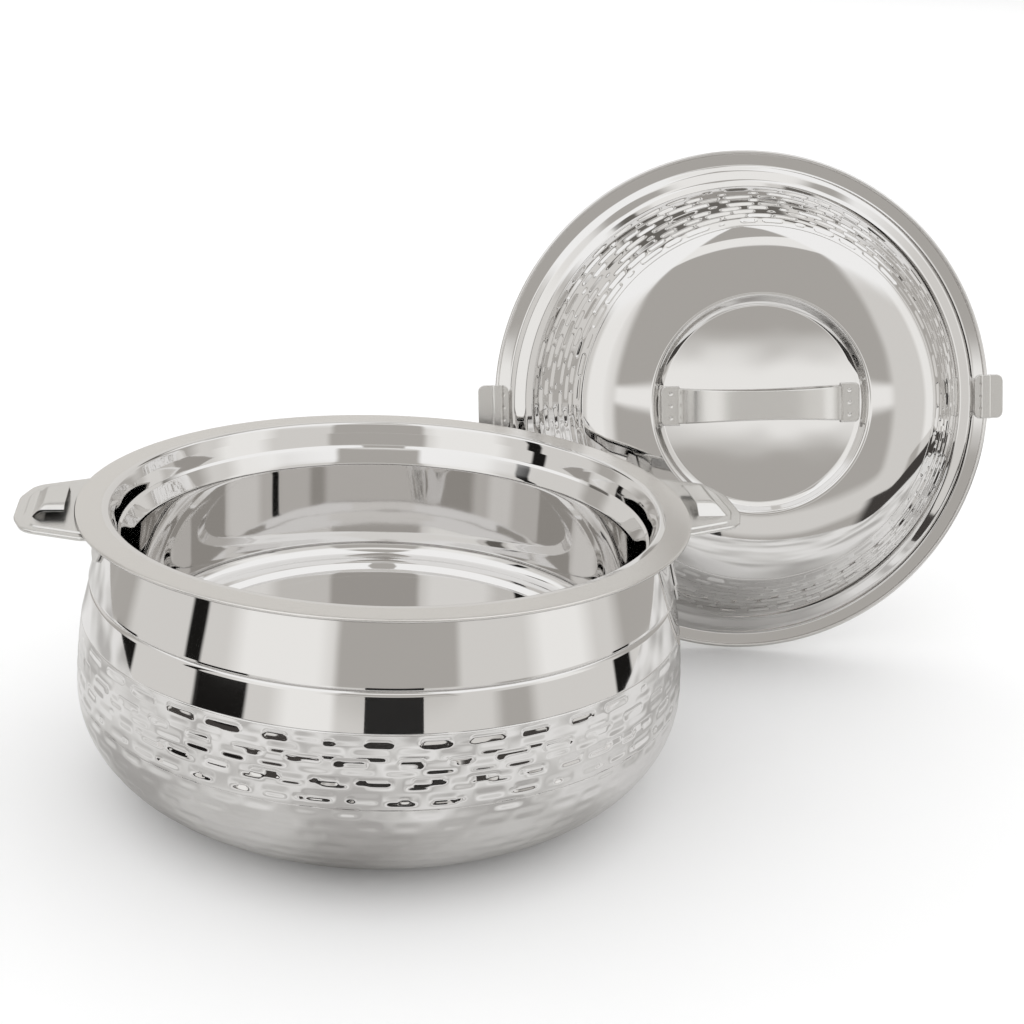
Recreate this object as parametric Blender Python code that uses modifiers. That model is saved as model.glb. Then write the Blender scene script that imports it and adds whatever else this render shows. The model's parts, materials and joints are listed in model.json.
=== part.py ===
# Insulated chapati casserole: a double-walled steel bowl with two lock handles,
# and its insulated twist-lock lid, which stands on its rim behind the bowl.
# Lengths are in metres and angles in degrees. +Z is up, the handles lie along X,
# and the origin is the centre of the bowl's base on the table.

import math

import bmesh
import bpy
from mathutils import Matrix, Vector

# Sheet, clearances and faceting
SHEET = 0.0008
SEAT_GAP = 0.0003
ROUND_STEPS = 40
ARC_STEPS = 2
ARC_CHORD = 0.006
MERGE_DISTANCE = 0.00001
CUT_OVERRUN = 0.002

# Bowl: flange and mouth, with depths under the flange's top and insets from the mouth's edge
BOWL_HEIGHT = 0.128
FLANGE_RADIUS = 0.135
FLANGE_LIP = 0.0012
FLANGE_WIDTH = 0.0142
MOUTH_RADIUS = FLANGE_RADIUS - FLANGE_WIDTH
MOUTH_FILLET = 0.0016
LEDGE_TOP_INSET = 0.0022
LEDGE_TOP_RADIUS = MOUTH_RADIUS - LEDGE_TOP_INSET
LEDGE_TOP_DEPTH = 0.0048
LEDGE_FOOT_INSET = 0.0036
LEDGE_FOOT_RADIUS = MOUTH_RADIUS - LEDGE_FOOT_INSET
LEDGE_FOOT_DEPTH = 0.0109
SHOULDER_INSET = 0.0048
SHOULDER_RADIUS = MOUTH_RADIUS - SHOULDER_INSET
SHOULDER_DEPTH = 0.0120

# Bowl: inner vessel below the mouth
VESSEL_INSET = 0.0088
VESSEL_RADIUS = MOUTH_RADIUS - VESSEL_INSET
VESSEL_WALL_DEPTH = 0.0190
VESSEL_CORNER = 0.010
FLOOR_HEIGHT = 0.060
FLOOR_RING_INSET = 0.014
FLOOR_RING_RADIUS = VESSEL_RADIUS - FLOOR_RING_INSET
FLOOR_RING_WIDTH = 0.018
FLOOR_DISC_RADIUS = FLOOR_RING_RADIUS - FLOOR_RING_WIDTH
FLOOR_RING_DEPTH = 0.0025
FLOOR_STEP_RUN = 0.003

# Bowl: outer shell, whose neck and crease are placed from the flange
NECK_INSET = 0.0110
NECK_RADIUS = FLANGE_RADIUS - NECK_INSET
NECK_FLARE = 0.0005
NECK_DEPTH = 0.0140
NECK_HEIGHT = BOWL_HEIGHT - NECK_DEPTH
NECK_BLEND = 0.012
CREASE_INSET = 0.0037
CREASE_RADIUS = FLANGE_RADIUS - CREASE_INSET
CREASE_DEPTH = 0.0307
CREASE_HEIGHT = BOWL_HEIGHT - CREASE_DEPTH
CREASE_STEP = 0.0005
BELLY_SWELL = 0.0051
BELLY_RADIUS = CREASE_RADIUS + BELLY_SWELL
BELLY_HEIGHT = 0.0450
BASE_INSET = 0.0524
BASE_RADIUS = BELLY_RADIUS - BASE_INSET
BASE_PLATE_INSET = 0.004
BASE_PLATE_RADIUS = BASE_RADIUS - BASE_PLATE_INSET
BASE_SEAT_WIDTH = 0.014
BASE_HOLE_RADIUS = BASE_PLATE_RADIUS - BASE_SEAT_WIDTH
UPPER_BELLY_STEPS = 4
LOWER_BELLY_STEPS = 6

# Bowl: handle plates and their brackets
HANDLE_OVERHANG = 0.0245
HANDLE_REACH = FLANGE_RADIUS + HANDLE_OVERHANG
HANDLE_SHEET = 0.0012
HANDLE_DEPTH = 0.0016
HANDLE_TOP = BOWL_HEIGHT - HANDLE_DEPTH
HANDLE_ROOT_HALF = 0.0392
HANDLE_ROOT_INSET = 0.005
HANDLE_ROOT_REACH = FLANGE_RADIUS - HANDLE_ROOT_INSET
HANDLE_SHOULDER_INSET = 0.0050
HANDLE_SHOULDER_REACH = HANDLE_REACH - HANDLE_SHOULDER_INSET
HANDLE_SHOULDER_HALF = 0.0285
HANDLE_SHOULDER_FILLET = 0.012
HANDLE_NOSE_HALF = 0.0130
HANDLE_NOSE_FILLET = 0.020
HANDLE_ROOT_FILLET = 0.002
BRACKET_SHEET = 0.0012
BRACKET_HALF = 0.029
BRACKET_LENGTH = 0.0418
BRACKET_FILLET = 0.022

# Bowl: lock pockets on the handle plates
POCKET_RISE = 0.0048
POCKET_WALL = 0.0009
POCKET_FLANGE_GAP = 0.0033
POCKET_INNER = FLANGE_RADIUS + POCKET_FLANGE_GAP
POCKET_TOP_LENGTH = 0.0088
POCKET_TOP_HALF = 0.0125
POCKET_OUTER_SLOPE = 0.0044
POCKET_END_SLOPE = 0.0060
POCKET_MOUTH_RISE = 0.0030
POCKET_LIP_WIDTH = 0.0015

# Lid: rim, in the lid's own frame, where heights start at the rim's underside and insets at its edge
LID_OVERHANG = 0.0010
LID_RADIUS = FLANGE_RADIUS + LID_OVERHANG
RIM_FLANGE_TOP = 0.0019
RIM_HEM_WIDTH = 0.0020
RIM_HEM_TOP = 0.0030
RIM_EDGE_GAP = 0.0004
RIM_WIDTH = 0.0080
RIM_STEP_RADIUS = LID_RADIUS - RIM_WIDTH
RIM_STEP_RUN = 0.003
RIM_STEP_RISE = 0.0025
DOME_FOOT_INSET = 0.0165
DOME_FOOT_RADIUS = LID_RADIUS - DOME_FOOT_INSET
DOME_FOOT_RISE = 0.0056
DOME_FOOT_FILLET = 0.003

# Lid: hammered wall, crown and sunk centre
DOME_WALL_INSET = 0.0200
DOME_WALL_RADIUS = LID_RADIUS - DOME_WALL_INSET
DOME_WALL_RISE = 0.0095
DOME_EDGE_INSET = 0.0398
DOME_EDGE_RADIUS = LID_RADIUS - DOME_EDGE_INSET
DOME_EDGE_RISE = 0.0500
DOME_FILLET = 0.034
RECESS_RADIUS = 0.0558
RECESS_EDGE_RISE = 0.0583
RECESS_DEPTH = 0.0048
RECESS_BEVEL = 0.0034

# Lid: liner, plug and gasket, which clear the bowl's mouth
PLUG_CLEARANCE = 0.0030
PLUG_RADIUS = LEDGE_FOOT_RADIUS - PLUG_CLEARANCE
PLUG_DEPTH = 0.0090
PLUG_TAPER = 0.0008
PLUG_LAND = 0.0040
PLUG_FILLET = 0.0015
LINER_EDGE_INSET = 0.0232
LINER_EDGE_RADIUS = PLUG_RADIUS - LINER_EDGE_INSET
LINER_ROOF_RISE = 0.0430
LINER_FILLET = 0.016
GASKET_CLEARANCE = 0.0006
GASKET_RADIUS = LEDGE_TOP_RADIUS - GASKET_CLEARANCE
GASKET_HEIGHT = 0.0047
GASKET_FILLET = 0.0012

# Lid: strap handle, whose feet stand inside the sunk centre
STRAP_SHEET = 0.0012
FOOT_MARGIN = 0.0012
FOOT_OUTER_REACH = RECESS_RADIUS - RECESS_BEVEL - FOOT_MARGIN
FOOT_LENGTH = 0.0097
FOOT_INNER_REACH = FOOT_OUTER_REACH - FOOT_LENGTH
FOOT_HALF_WIDTH = 0.0102
FOOT_FILLET = 0.0026
STRAP_END_HALF = 0.0090
STRAP_WAIST_HALF = 0.0074
STRAP_ARCH = 0.0235
STRAP_SQUARENESS_SHARE = 0.78
STRAP_STEPS = 16

# Lid: lock clips, welded outside the rim's step and reaching into the handles' pockets
CLIP_SHEET = 0.0012
CLIP_STEP_GAP = 0.0004
CLIP_INNER_RADIUS = RIM_STEP_RADIUS + CLIP_STEP_GAP
CLIP_LEG_GAP = 0.0004
CLIP_CLEARANCE = 0.0017
CLIP_REACH = POCKET_INNER + POCKET_TOP_LENGTH - POCKET_WALL - CLIP_CLEARANCE
CLIP_HALF_WIDTH = 0.0120
CLIP_FILLET = 0.0034
CLIP_HOP_RUN = 0.0008
TAB_DROP = 0.0010

# Lid: where it stands past the flange's edge, and how it is turned
LID_STAND_X = 0.0726
LID_PLACE_X = FLANGE_RADIUS + LID_STAND_X
LID_STAND_Y = 0.0161
LID_PLACE_Y = FLANGE_RADIUS + LID_STAND_Y
LID_YAW = -7.61
LID_LEAN = 14.37
LID_ROLL = 3.70

# Colour, metallic value and roughness of each finish
MIRROR_STEEL = ((0.80, 0.79, 0.77, 1.0), 1.0, 0.07)
SATIN_STEEL = ((0.78, 0.78, 0.77, 1.0), 1.0, 0.24)
WHITE_SILICONE = ((0.82, 0.82, 0.80, 1.0), 0.0, 0.50)
CREAM_FOAM = ((0.85, 0.78, 0.55, 1.0), 0.0, 0.90)


def clear_scene():
    for old in list(bpy.data.objects):
        bpy.data.objects.remove(old, do_unlink=True)


def new_collection(name, hidden=False):
    made = bpy.data.collections.new(name)
    bpy.context.scene.collection.children.link(made)
    made.hide_render = hidden
    return made


def new_object(name, data, collection):
    obj = bpy.data.objects.new(name, data)
    collection.objects.link(obj)
    return obj


def paint(obj, finish):
    colour, metallic, roughness = finish
    material = bpy.data.materials.new(obj.name + "_finish")
    material.use_nodes = True
    shader = material.node_tree.nodes["Principled BSDF"]
    shader.inputs["Base Color"].default_value = colour
    shader.inputs["Metallic"].default_value = metallic
    shader.inputs["Roughness"].default_value = roughness
    obj.data.materials.clear()
    obj.data.materials.append(material)


def rounded(line):
    """Rounds the corners of a line of (x, y, fillet radius), each with an arc that its two sides can hold."""
    made = []
    for i, (x, y, fillet) in enumerate(line):
        here = Vector((x, y))
        if fillet == 0 or i in (0, len(line) - 1):
            made.append((x, y))
            continue
        back = Vector(line[i - 1][:2]) - here
        ahead = Vector(line[i + 1][:2]) - here
        half = back.angle(ahead) / 2
        reach = min(fillet / math.tan(half), back.length / 2, ahead.length / 2)
        radius = reach * math.tan(half)
        centre = here + (back.normalized() + ahead.normalized()).normalized() * radius / math.sin(half)
        spoke = here + back.normalized() * reach - centre
        start = math.atan2(spoke.y, spoke.x)
        turn = math.copysign(math.pi - 2 * half, ahead.cross(back))
        steps = ARC_STEPS + math.floor(abs(turn) * radius / ARC_CHORD)
        for k in range(steps + 1):
            angle = start + turn * k / steps
            made.append((centre.x + radius * math.cos(angle), centre.y + radius * math.sin(angle)))
    return made


def rounded_loop(corners):
    """Rounds every corner of a closed outline."""
    first, last = corners[0], corners[-1]
    start = ((first[0] + last[0]) / 2, (first[1] + last[1]) / 2, 0)
    return rounded([start] + corners + [start])[:-1]


def offset(line, distance):
    """Moves a (radius, height) line sideways, to its left where the distance is positive."""
    moved = []
    for i, point in enumerate(line):
        ends = [Vector(line[k]) for k in sorted({max(i - 1, 0), i, min(i + 1, len(line) - 1)})]
        sides = [b - a for a, b in zip(ends, ends[1:])]
        normals = [Vector((-side.y, side.x)).normalized() for side in sides]
        middle = sum(normals, Vector((0, 0))).normalized()
        moved.append(tuple(Vector(point) + middle * distance / middle.dot(normals[0])))
    return moved


def between(line, low, high):
    """The part of a falling (radius, height) line between two heights."""
    made = []
    for (radius, height), (next_radius, next_height) in zip(line, line[1:]):
        for level in (high, low):
            if next_height < level <= height:
                share = (height - level) / (height - next_height)
                made.append((radius + (next_radius - radius) * share, level))
        if low < next_height < high:
            made.append((next_radius, next_height))
    return made


def add_wall(obj, wall, side):
    solidify = obj.modifiers.new("Wall", "SOLIDIFY")
    solidify.thickness = wall
    solidify.offset = side
    solidify.use_even_offset = True


def turned(name, line, collection, wall=0, closed=False):
    """Turns a (radius, height) line about Z. A wall grows behind the face that the line draws."""
    mesh = bpy.data.meshes.new(name)
    edges = [(i, i + 1) for i in range(len(line) - 1)]
    if closed:
        edges.append((len(line) - 1, 0))
    mesh.from_pydata([(radius, 0, height) for radius, height in line], edges, [])
    obj = new_object(name, mesh, collection)
    screw = obj.modifiers.new("Turn", "SCREW")
    screw.steps = screw.render_steps = ROUND_STEPS
    screw.use_merge_vertices = True
    screw.merge_threshold = MERGE_DISTANCE
    screw.use_smooth_shade = True
    if wall:
        add_wall(obj, wall, -1)
    return obj


def evaluated_mesh(obj):
    """The mesh that an object's modifiers or curve make, welded, in the place of the object."""
    bpy.context.view_layer.update()
    graph = bpy.context.evaluated_depsgraph_get()
    mesh = bpy.data.meshes.new_from_object(obj.evaluated_get(graph))
    mesh.transform(obj.matrix_world)
    work = bmesh.new()
    work.from_mesh(mesh)
    bmesh.ops.remove_doubles(work, verts=work.verts, dist=MERGE_DISTANCE)
    work.to_mesh(mesh)
    work.free()
    return mesh


def prism(name, outline, depth, place, collection):
    """A flat outline made thick by depth, half on each side of its plane, and put in its place by a matrix."""
    curve = bpy.data.curves.new(name, "CURVE")
    curve.dimensions = "2D"
    curve.fill_mode = "BOTH"
    curve.extrude = depth / 2
    spline = curve.splines.new("POLY")
    spline.points.add(len(outline) - 1)
    for point, (x, y) in zip(spline.points, outline):
        point.co = (x, y, 0, 1)
    spline.use_cyclic_u = True
    guide = new_object(name, curve, collection)
    guide.matrix_world = place
    mesh = evaluated_mesh(guide)
    bpy.data.objects.remove(guide)
    bpy.data.curves.remove(curve)
    return new_object(name, mesh, collection)


def wedge(name, foot, top, collection):
    """A box whose foot and top are each given as low x, high x, low y, high y and z."""
    work = bmesh.new()
    bmesh.ops.create_cube(work)
    for vert in work.verts:
        low_x, high_x, low_y, high_y, z = top if vert.co.z > 0 else foot
        vert.co = (high_x if vert.co.x > 0 else low_x, high_y if vert.co.y > 0 else low_y, z)
    mesh = bpy.data.meshes.new(name)
    work.to_mesh(mesh)
    work.free()
    return new_object(name, mesh, collection)


def strip(name, path, half_width, wall, collection):
    """A sheet bent along an (x, z) path, whose wall grows to the left of the path."""
    mesh = bpy.data.meshes.new(name)
    points = [(x, side * half_width, z) for x, z in path for side in (-1, 1)]
    faces = [(2 * i, 2 * i + 2, 2 * i + 3, 2 * i + 1) for i in range(len(path) - 1)]
    mesh.from_pydata(points, [], faces)
    obj = new_object(name, mesh, collection)
    add_wall(obj, wall, 1)
    return obj


def combine(obj, other, operation):
    """Cuts, joins or crosses a mesh with another, which is left as a hidden tool."""
    other.hide_render = True
    other.display_type = "WIRE"
    step = obj.modifiers.new(other.name, "BOOLEAN")
    step.operation = operation
    step.object = other


def pair(name, source, parent, finish, collection):
    """The right and left copies of a piece. The left one is turned half round the parent's axis."""
    source.hide_render = True
    source.display_type = "WIRE"
    mesh = evaluated_mesh(source)
    for side, turn in (("right", 0), ("left", math.pi)):
        copy = new_object(side + "_" + name, mesh.copy(), collection)
        copy.rotation_euler.z = turn
        copy.parent = parent
        paint(copy, finish)


def shell_line():
    """Outer face of the outer shell, from the neck down over the crease and the belly to the turned-in base."""
    line = rounded(
        [
            (NECK_RADIUS + NECK_FLARE, BOWL_HEIGHT - SHEET - SEAT_GAP, 0),
            (NECK_RADIUS, NECK_HEIGHT, NECK_BLEND),
            (CREASE_RADIUS, CREASE_HEIGHT, 0),
        ]
    )
    start = CREASE_RADIUS - CREASE_STEP
    line.append((start, CREASE_HEIGHT - CREASE_STEP))
    for k in range(1, UPPER_BELLY_STEPS + 1):
        rise = 1 - k / UPPER_BELLY_STEPS
        height = BELLY_HEIGHT + (CREASE_HEIGHT - CREASE_STEP - BELLY_HEIGHT) * rise
        line.append((BELLY_RADIUS - (BELLY_RADIUS - start) * rise**2, height))
    bottom = SHEET + SEAT_GAP
    for k in range(1, LOWER_BELLY_STEPS + 1):
        angle = math.pi / 2 * k / LOWER_BELLY_STEPS
        radius = BASE_RADIUS + (BELLY_RADIUS - BASE_RADIUS) * math.cos(angle)
        line.append((radius, BELLY_HEIGHT - (BELLY_HEIGHT - bottom) * math.sin(angle)))
    line.append((BASE_HOLE_RADIUS, bottom))
    return line


def vessel_line():
    """Inner face of the inner vessel, from the floor's centre up to the stepped mouth and the flange's lip."""
    valley = FLOOR_HEIGHT - FLOOR_RING_DEPTH
    return rounded(
        [
            (0, FLOOR_HEIGHT, 0),
            (FLOOR_DISC_RADIUS, FLOOR_HEIGHT, 0),
            (FLOOR_DISC_RADIUS + FLOOR_STEP_RUN, valley, 0),
            (FLOOR_RING_RADIUS - FLOOR_STEP_RUN, valley, 0),
            (FLOOR_RING_RADIUS, FLOOR_HEIGHT, 0),
            (VESSEL_RADIUS, FLOOR_HEIGHT, VESSEL_CORNER),
            (VESSEL_RADIUS, BOWL_HEIGHT - VESSEL_WALL_DEPTH, 0),
            (SHOULDER_RADIUS, BOWL_HEIGHT - SHOULDER_DEPTH, 0),
            (LEDGE_FOOT_RADIUS, BOWL_HEIGHT - LEDGE_FOOT_DEPTH, 0),
            (LEDGE_TOP_RADIUS, BOWL_HEIGHT - LEDGE_TOP_DEPTH, 0),
            (MOUTH_RADIUS, BOWL_HEIGHT, MOUTH_FILLET),
            (FLANGE_RADIUS, BOWL_HEIGHT, 0),
            (FLANGE_RADIUS, BOWL_HEIGHT - FLANGE_LIP, 0),
        ]
    )


def bowl_foam_line():
    """Section of the foam cup, from the axis under the vessel's floor, over its brim and down to the axis again."""
    clear = SHEET + SEAT_GAP
    floor = FLOOR_HEIGHT - FLOOR_RING_DEPTH - clear
    wall = VESSEL_RADIUS + clear
    cup = rounded([(0, floor, 0), (wall, floor, VESSEL_CORNER), (wall, CREASE_HEIGHT, 0)])
    return cup + between(offset(shell_line(), -clear), 0, CREASE_HEIGHT) + [(0, 2 * clear)]


def lid_line():
    """Outer face of the lid's shell, from the sunk centre over the crown and the wall to the rim's flange."""
    sunk = RECESS_EDGE_RISE - RECESS_DEPTH
    return rounded(
        [
            (0, sunk, 0),
            (RECESS_RADIUS - RECESS_BEVEL, sunk, 0),
            (RECESS_RADIUS, RECESS_EDGE_RISE, 0),
            (DOME_EDGE_RADIUS, DOME_EDGE_RISE, DOME_FILLET),
            (DOME_WALL_RADIUS, DOME_WALL_RISE, 0),
            (DOME_FOOT_RADIUS, DOME_FOOT_RISE, DOME_FOOT_FILLET),
            (RIM_STEP_RADIUS - RIM_STEP_RUN, RIM_FLANGE_TOP + RIM_STEP_RISE, 0),
            (RIM_STEP_RADIUS, RIM_FLANGE_TOP, 0),
            (LID_RADIUS - SHEET - RIM_EDGE_GAP, RIM_FLANGE_TOP, 0),
        ]
    )


def liner_line():
    """Inner face of the liner, from its hem over the rim, under the flange, round the plug and up to the roof."""
    plug_foot = PLUG_RADIUS - PLUG_TAPER
    return rounded(
        [
            (LID_RADIUS - RIM_HEM_WIDTH, RIM_HEM_TOP, 0),
            (LID_RADIUS, RIM_HEM_TOP, 0),
            (LID_RADIUS, 0, 0),
            (PLUG_RADIUS, 0, 0),
            (plug_foot, -PLUG_DEPTH, PLUG_FILLET),
            (plug_foot - PLUG_LAND, -PLUG_DEPTH, PLUG_FILLET),
            (LINER_EDGE_RADIUS, LINER_ROOF_RISE, LINER_FILLET),
            (0, LINER_ROOF_RISE, 0),
        ]
    )


def lid_foam_line():
    """Section of the lid's foam, from the axis under the sunk centre, down the wall and back over the liner's roof."""
    clear = SHEET + SEAT_GAP
    top = RECESS_EDGE_RISE - RECESS_DEPTH - clear
    crown = rounded(
        [
            (RECESS_RADIUS, RECESS_EDGE_RISE, 0),
            (DOME_EDGE_RADIUS, DOME_EDGE_RISE, DOME_FILLET),
            (DOME_WALL_RADIUS, DOME_WALL_RISE, 0),
        ]
    )
    inner_foot = PLUG_RADIUS - PLUG_TAPER - PLUG_LAND
    share = (DOME_WALL_RISE + PLUG_DEPTH) / (LINER_ROOF_RISE + PLUG_DEPTH)
    roof = rounded(
        [
            (inner_foot + (LINER_EDGE_RADIUS - inner_foot) * share, DOME_WALL_RISE, 0),
            (LINER_EDGE_RADIUS, LINER_ROOF_RISE, LINER_FILLET),
            (0, LINER_ROOF_RISE, 0),
        ]
    )
    return [(0, top)] + between(offset(crown, -clear), 0, top) + offset(roof, -clear)


def gasket_line():
    """Section of the gasket round the plug, wide enough for its flat facets to clear the plug as it turns."""
    inner = (PLUG_RADIUS + SEAT_GAP) / math.cos(math.pi / ROUND_STEPS)
    return rounded_loop(
        [
            (GASKET_RADIUS, -SEAT_GAP, GASKET_FILLET),
            (GASKET_RADIUS, -SEAT_GAP - GASKET_HEIGHT, GASKET_FILLET),
            (inner, -SEAT_GAP - GASKET_HEIGHT, 0),
            (inner, -SEAT_GAP, 0),
        ]
    )


def make_base_plate(parts):
    """The flat disc that closes the shell's base and stands on the table."""
    work = bmesh.new()
    bmesh.ops.create_cone(
        work,
        cap_ends=True,
        segments=ROUND_STEPS,
        radius1=BASE_PLATE_RADIUS,
        radius2=BASE_PLATE_RADIUS,
        depth=SHEET,
    )
    mesh = bpy.data.meshes.new("base_plate")
    work.to_mesh(mesh)
    work.free()
    plate = new_object("base_plate", mesh, parts)
    plate.location.z = SHEET / 2
    return plate


def handle_outline():
    """The handle plate seen from above: an arc that hugs the neck, straight sides, round shoulders and a blunt nose."""
    hug = NECK_RADIUS + NECK_FLARE + SEAT_GAP
    step = 2 * math.pi / ROUND_STEPS
    spokes = math.floor(math.asin(HANDLE_ROOT_HALF / hug) / step)
    arc = [(hug * math.cos(k * step), -hug * math.sin(k * step)) for k in range(-spokes, spokes + 1)]
    side = rounded(
        [
            (arc[-1][0], arc[-1][1], 0),
            (HANDLE_ROOT_REACH, -HANDLE_ROOT_HALF, HANDLE_ROOT_FILLET),
            (HANDLE_SHOULDER_REACH, -HANDLE_SHOULDER_HALF, HANDLE_SHOULDER_FILLET),
            (HANDLE_REACH, -HANDLE_NOSE_HALF, HANDLE_NOSE_FILLET),
            (HANDLE_REACH, 0, 0),
        ]
    )[1:-1]
    return arc + side + [(x, -y) for x, y in reversed(side)]


def make_handles(bowl, parts, tools):
    """The handle plates. Each has a raised pocket that is open towards the rim and at one end."""
    sunk = HANDLE_TOP - HANDLE_SHEET / 2
    plate = prism("handle_blank", handle_outline(), HANDLE_SHEET, Matrix.Translation((0, 0, sunk)), tools)
    roof = HANDLE_TOP + POCKET_RISE
    grown = (roof - sunk) / POCKET_RISE
    reach = POCKET_INNER + POCKET_TOP_LENGTH
    half = POCKET_TOP_HALF
    spread = half + POCKET_END_SLOPE * grown
    foot = (POCKET_INNER, reach + POCKET_OUTER_SLOPE * grown, -spread, spread, sunk)
    top = (POCKET_INNER, reach, -half, half, roof)
    combine(plate, wedge("pocket_body", foot, top, tools), "UNION")
    entry = POCKET_INNER - CUT_OVERRUN
    inner_reach = reach - POCKET_WALL
    foot = (entry, inner_reach + POCKET_OUTER_SLOPE, POCKET_WALL - half - POCKET_END_SLOPE, half, HANDLE_TOP)
    top = (entry, inner_reach, POCKET_WALL - half, half - POCKET_LIP_WIDTH, roof - POCKET_WALL)
    combine(plate, wedge("pocket_hollow", foot, top, tools), "DIFFERENCE")
    out = half + POCKET_END_SLOPE + CUT_OVERRUN
    lip_reach = inner_reach + POCKET_OUTER_SLOPE * (1 - POCKET_MOUTH_RISE / POCKET_RISE)
    foot = (entry, inner_reach + POCKET_OUTER_SLOPE, 0, out, HANDLE_TOP)
    top = (entry, lip_reach, 0, out, HANDLE_TOP + POCKET_MOUTH_RISE)
    combine(plate, wedge("pocket_mouth", foot, top, tools), "DIFFERENCE")
    pair("handle_plate", plate, bowl, SATIN_STEEL, parts)


def make_brackets(bowl, parts, tools):
    """The tongue under each handle plate, which follows the shell down."""
    top = HANDLE_TOP - HANDLE_SHEET - SEAT_GAP
    low = top - BRACKET_LENGTH
    line = between(offset(shell_line(), SEAT_GAP + BRACKET_SHEET), low - CUT_OVERRUN, top)
    band = turned("bracket_band", line, tools, BRACKET_SHEET)
    outline = rounded(
        [
            (-BRACKET_HALF, top + CUT_OVERRUN, 0),
            (-BRACKET_HALF, low, BRACKET_FILLET),
            (BRACKET_HALF, low, BRACKET_FILLET),
            (BRACKET_HALF, top + CUT_OVERRUN, 0),
        ]
    )
    upright = Matrix(((0, 0, 1, BELLY_RADIUS), (1, 0, 0, 0), (0, 1, 0, 0), (0, 0, 0, 1)))
    combine(band, prism("bracket_shape", outline, BELLY_RADIUS, upright, tools), "INTERSECT")
    pair("handle_bracket", band, bowl, SATIN_STEEL, parts)


def make_bowl(parts, tools):
    bowl = new_object("bowl", None, parts)
    pieces = [
        (turned("outer_shell", shell_line(), parts, SHEET), MIRROR_STEEL),
        (turned("inner_vessel", vessel_line(), parts, SHEET), MIRROR_STEEL),
        (turned("bowl_insulation", bowl_foam_line(), parts), CREAM_FOAM),
        (make_base_plate(parts), SATIN_STEEL),
    ]
    for piece, finish in pieces:
        piece.parent = bowl
        paint(piece, finish)
    make_handles(bowl, parts, tools)
    make_brackets(bowl, parts, tools)


def strap_outline():
    """The strap seen from above: a foot with rounded ends on each side of a band that narrows to its waist."""
    foot = rounded(
        [
            (-FOOT_INNER_REACH, STRAP_END_HALF, 0),
            (-FOOT_INNER_REACH, FOOT_HALF_WIDTH, 0),
            (-FOOT_OUTER_REACH, FOOT_HALF_WIDTH, FOOT_FILLET),
            (-FOOT_OUTER_REACH, 0, 0),
        ]
    )[1:-1]
    edge = []
    for k in range(STRAP_STEPS + 1):
        along = 1 - 2 * k / STRAP_STEPS
        half = STRAP_WAIST_HALF + (STRAP_END_HALF - STRAP_WAIST_HALF) * along**2
        edge.append((FOOT_INNER_REACH * along, half))
    upper = [(-x, y) for x, y in reversed(foot)] + edge + foot
    return upper + [(x, -y) for x, y in reversed(upper)]


def make_strap(lid, parts, tools):
    """The strap handle: an arch with a flat foot at each end, bent from one band."""
    seat = RECESS_EDGE_RISE - RECESS_DEPTH + SEAT_GAP
    path = [(-FOOT_OUTER_REACH, seat)]
    for k in range(STRAP_STEPS + 1):
        angle = math.pi * k / STRAP_STEPS
        along = math.copysign(abs(math.cos(angle)) ** STRAP_SQUARENESS_SHARE, -math.cos(angle))
        rise = math.sin(angle) ** STRAP_SQUARENESS_SHARE
        path.append((FOOT_INNER_REACH * along, seat + STRAP_ARCH * rise))
    path.append((FOOT_OUTER_REACH, seat))
    strap = strip("lid_handle_strap", path, FOOT_HALF_WIDTH + CUT_OVERRUN, STRAP_SHEET, parts)
    shape = prism("strap_shape", strap_outline(), 3 * STRAP_ARCH, Matrix.Translation((0, 0, seat)), tools)
    combine(strap, shape, "INTERSECT")
    for piece in (strap, shape):
        piece.parent = lid
    paint(strap, SATIN_STEEL)


def make_clips(lid, parts, tools):
    """The lock clips, each one strip: welded on the flange, bent over the hem, down past the rim and out."""
    low = RIM_FLANGE_TOP + SEAT_GAP
    high = RIM_HEM_TOP + SEAT_GAP
    hem = LID_RADIUS - RIM_HEM_WIDTH - SEAT_GAP
    leg = LID_RADIUS + CLIP_LEG_GAP
    path = [
        (CLIP_INNER_RADIUS, low),
        (hem - CLIP_SHEET - CLIP_HOP_RUN, low),
        (hem - CLIP_SHEET, high),
        (leg, high),
        (leg, -TAB_DROP),
        (CLIP_REACH, -TAB_DROP),
    ]
    clip = strip("clip_blank", path, CLIP_HALF_WIDTH + CUT_OVERRUN, CLIP_SHEET, tools)
    outline = rounded_loop(
        [
            (CLIP_INNER_RADIUS, -CLIP_HALF_WIDTH, CLIP_FILLET),
            (CLIP_REACH, -CLIP_HALF_WIDTH, CLIP_FILLET),
            (CLIP_REACH, CLIP_HALF_WIDTH, CLIP_FILLET),
            (CLIP_INNER_RADIUS, CLIP_HALF_WIDTH, CLIP_FILLET),
        ]
    )
    combine(clip, prism("clip_shape", outline, LID_RADIUS, Matrix(), tools), "INTERSECT")
    pair("lock_clip", clip, lid, SATIN_STEEL, parts)


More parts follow.
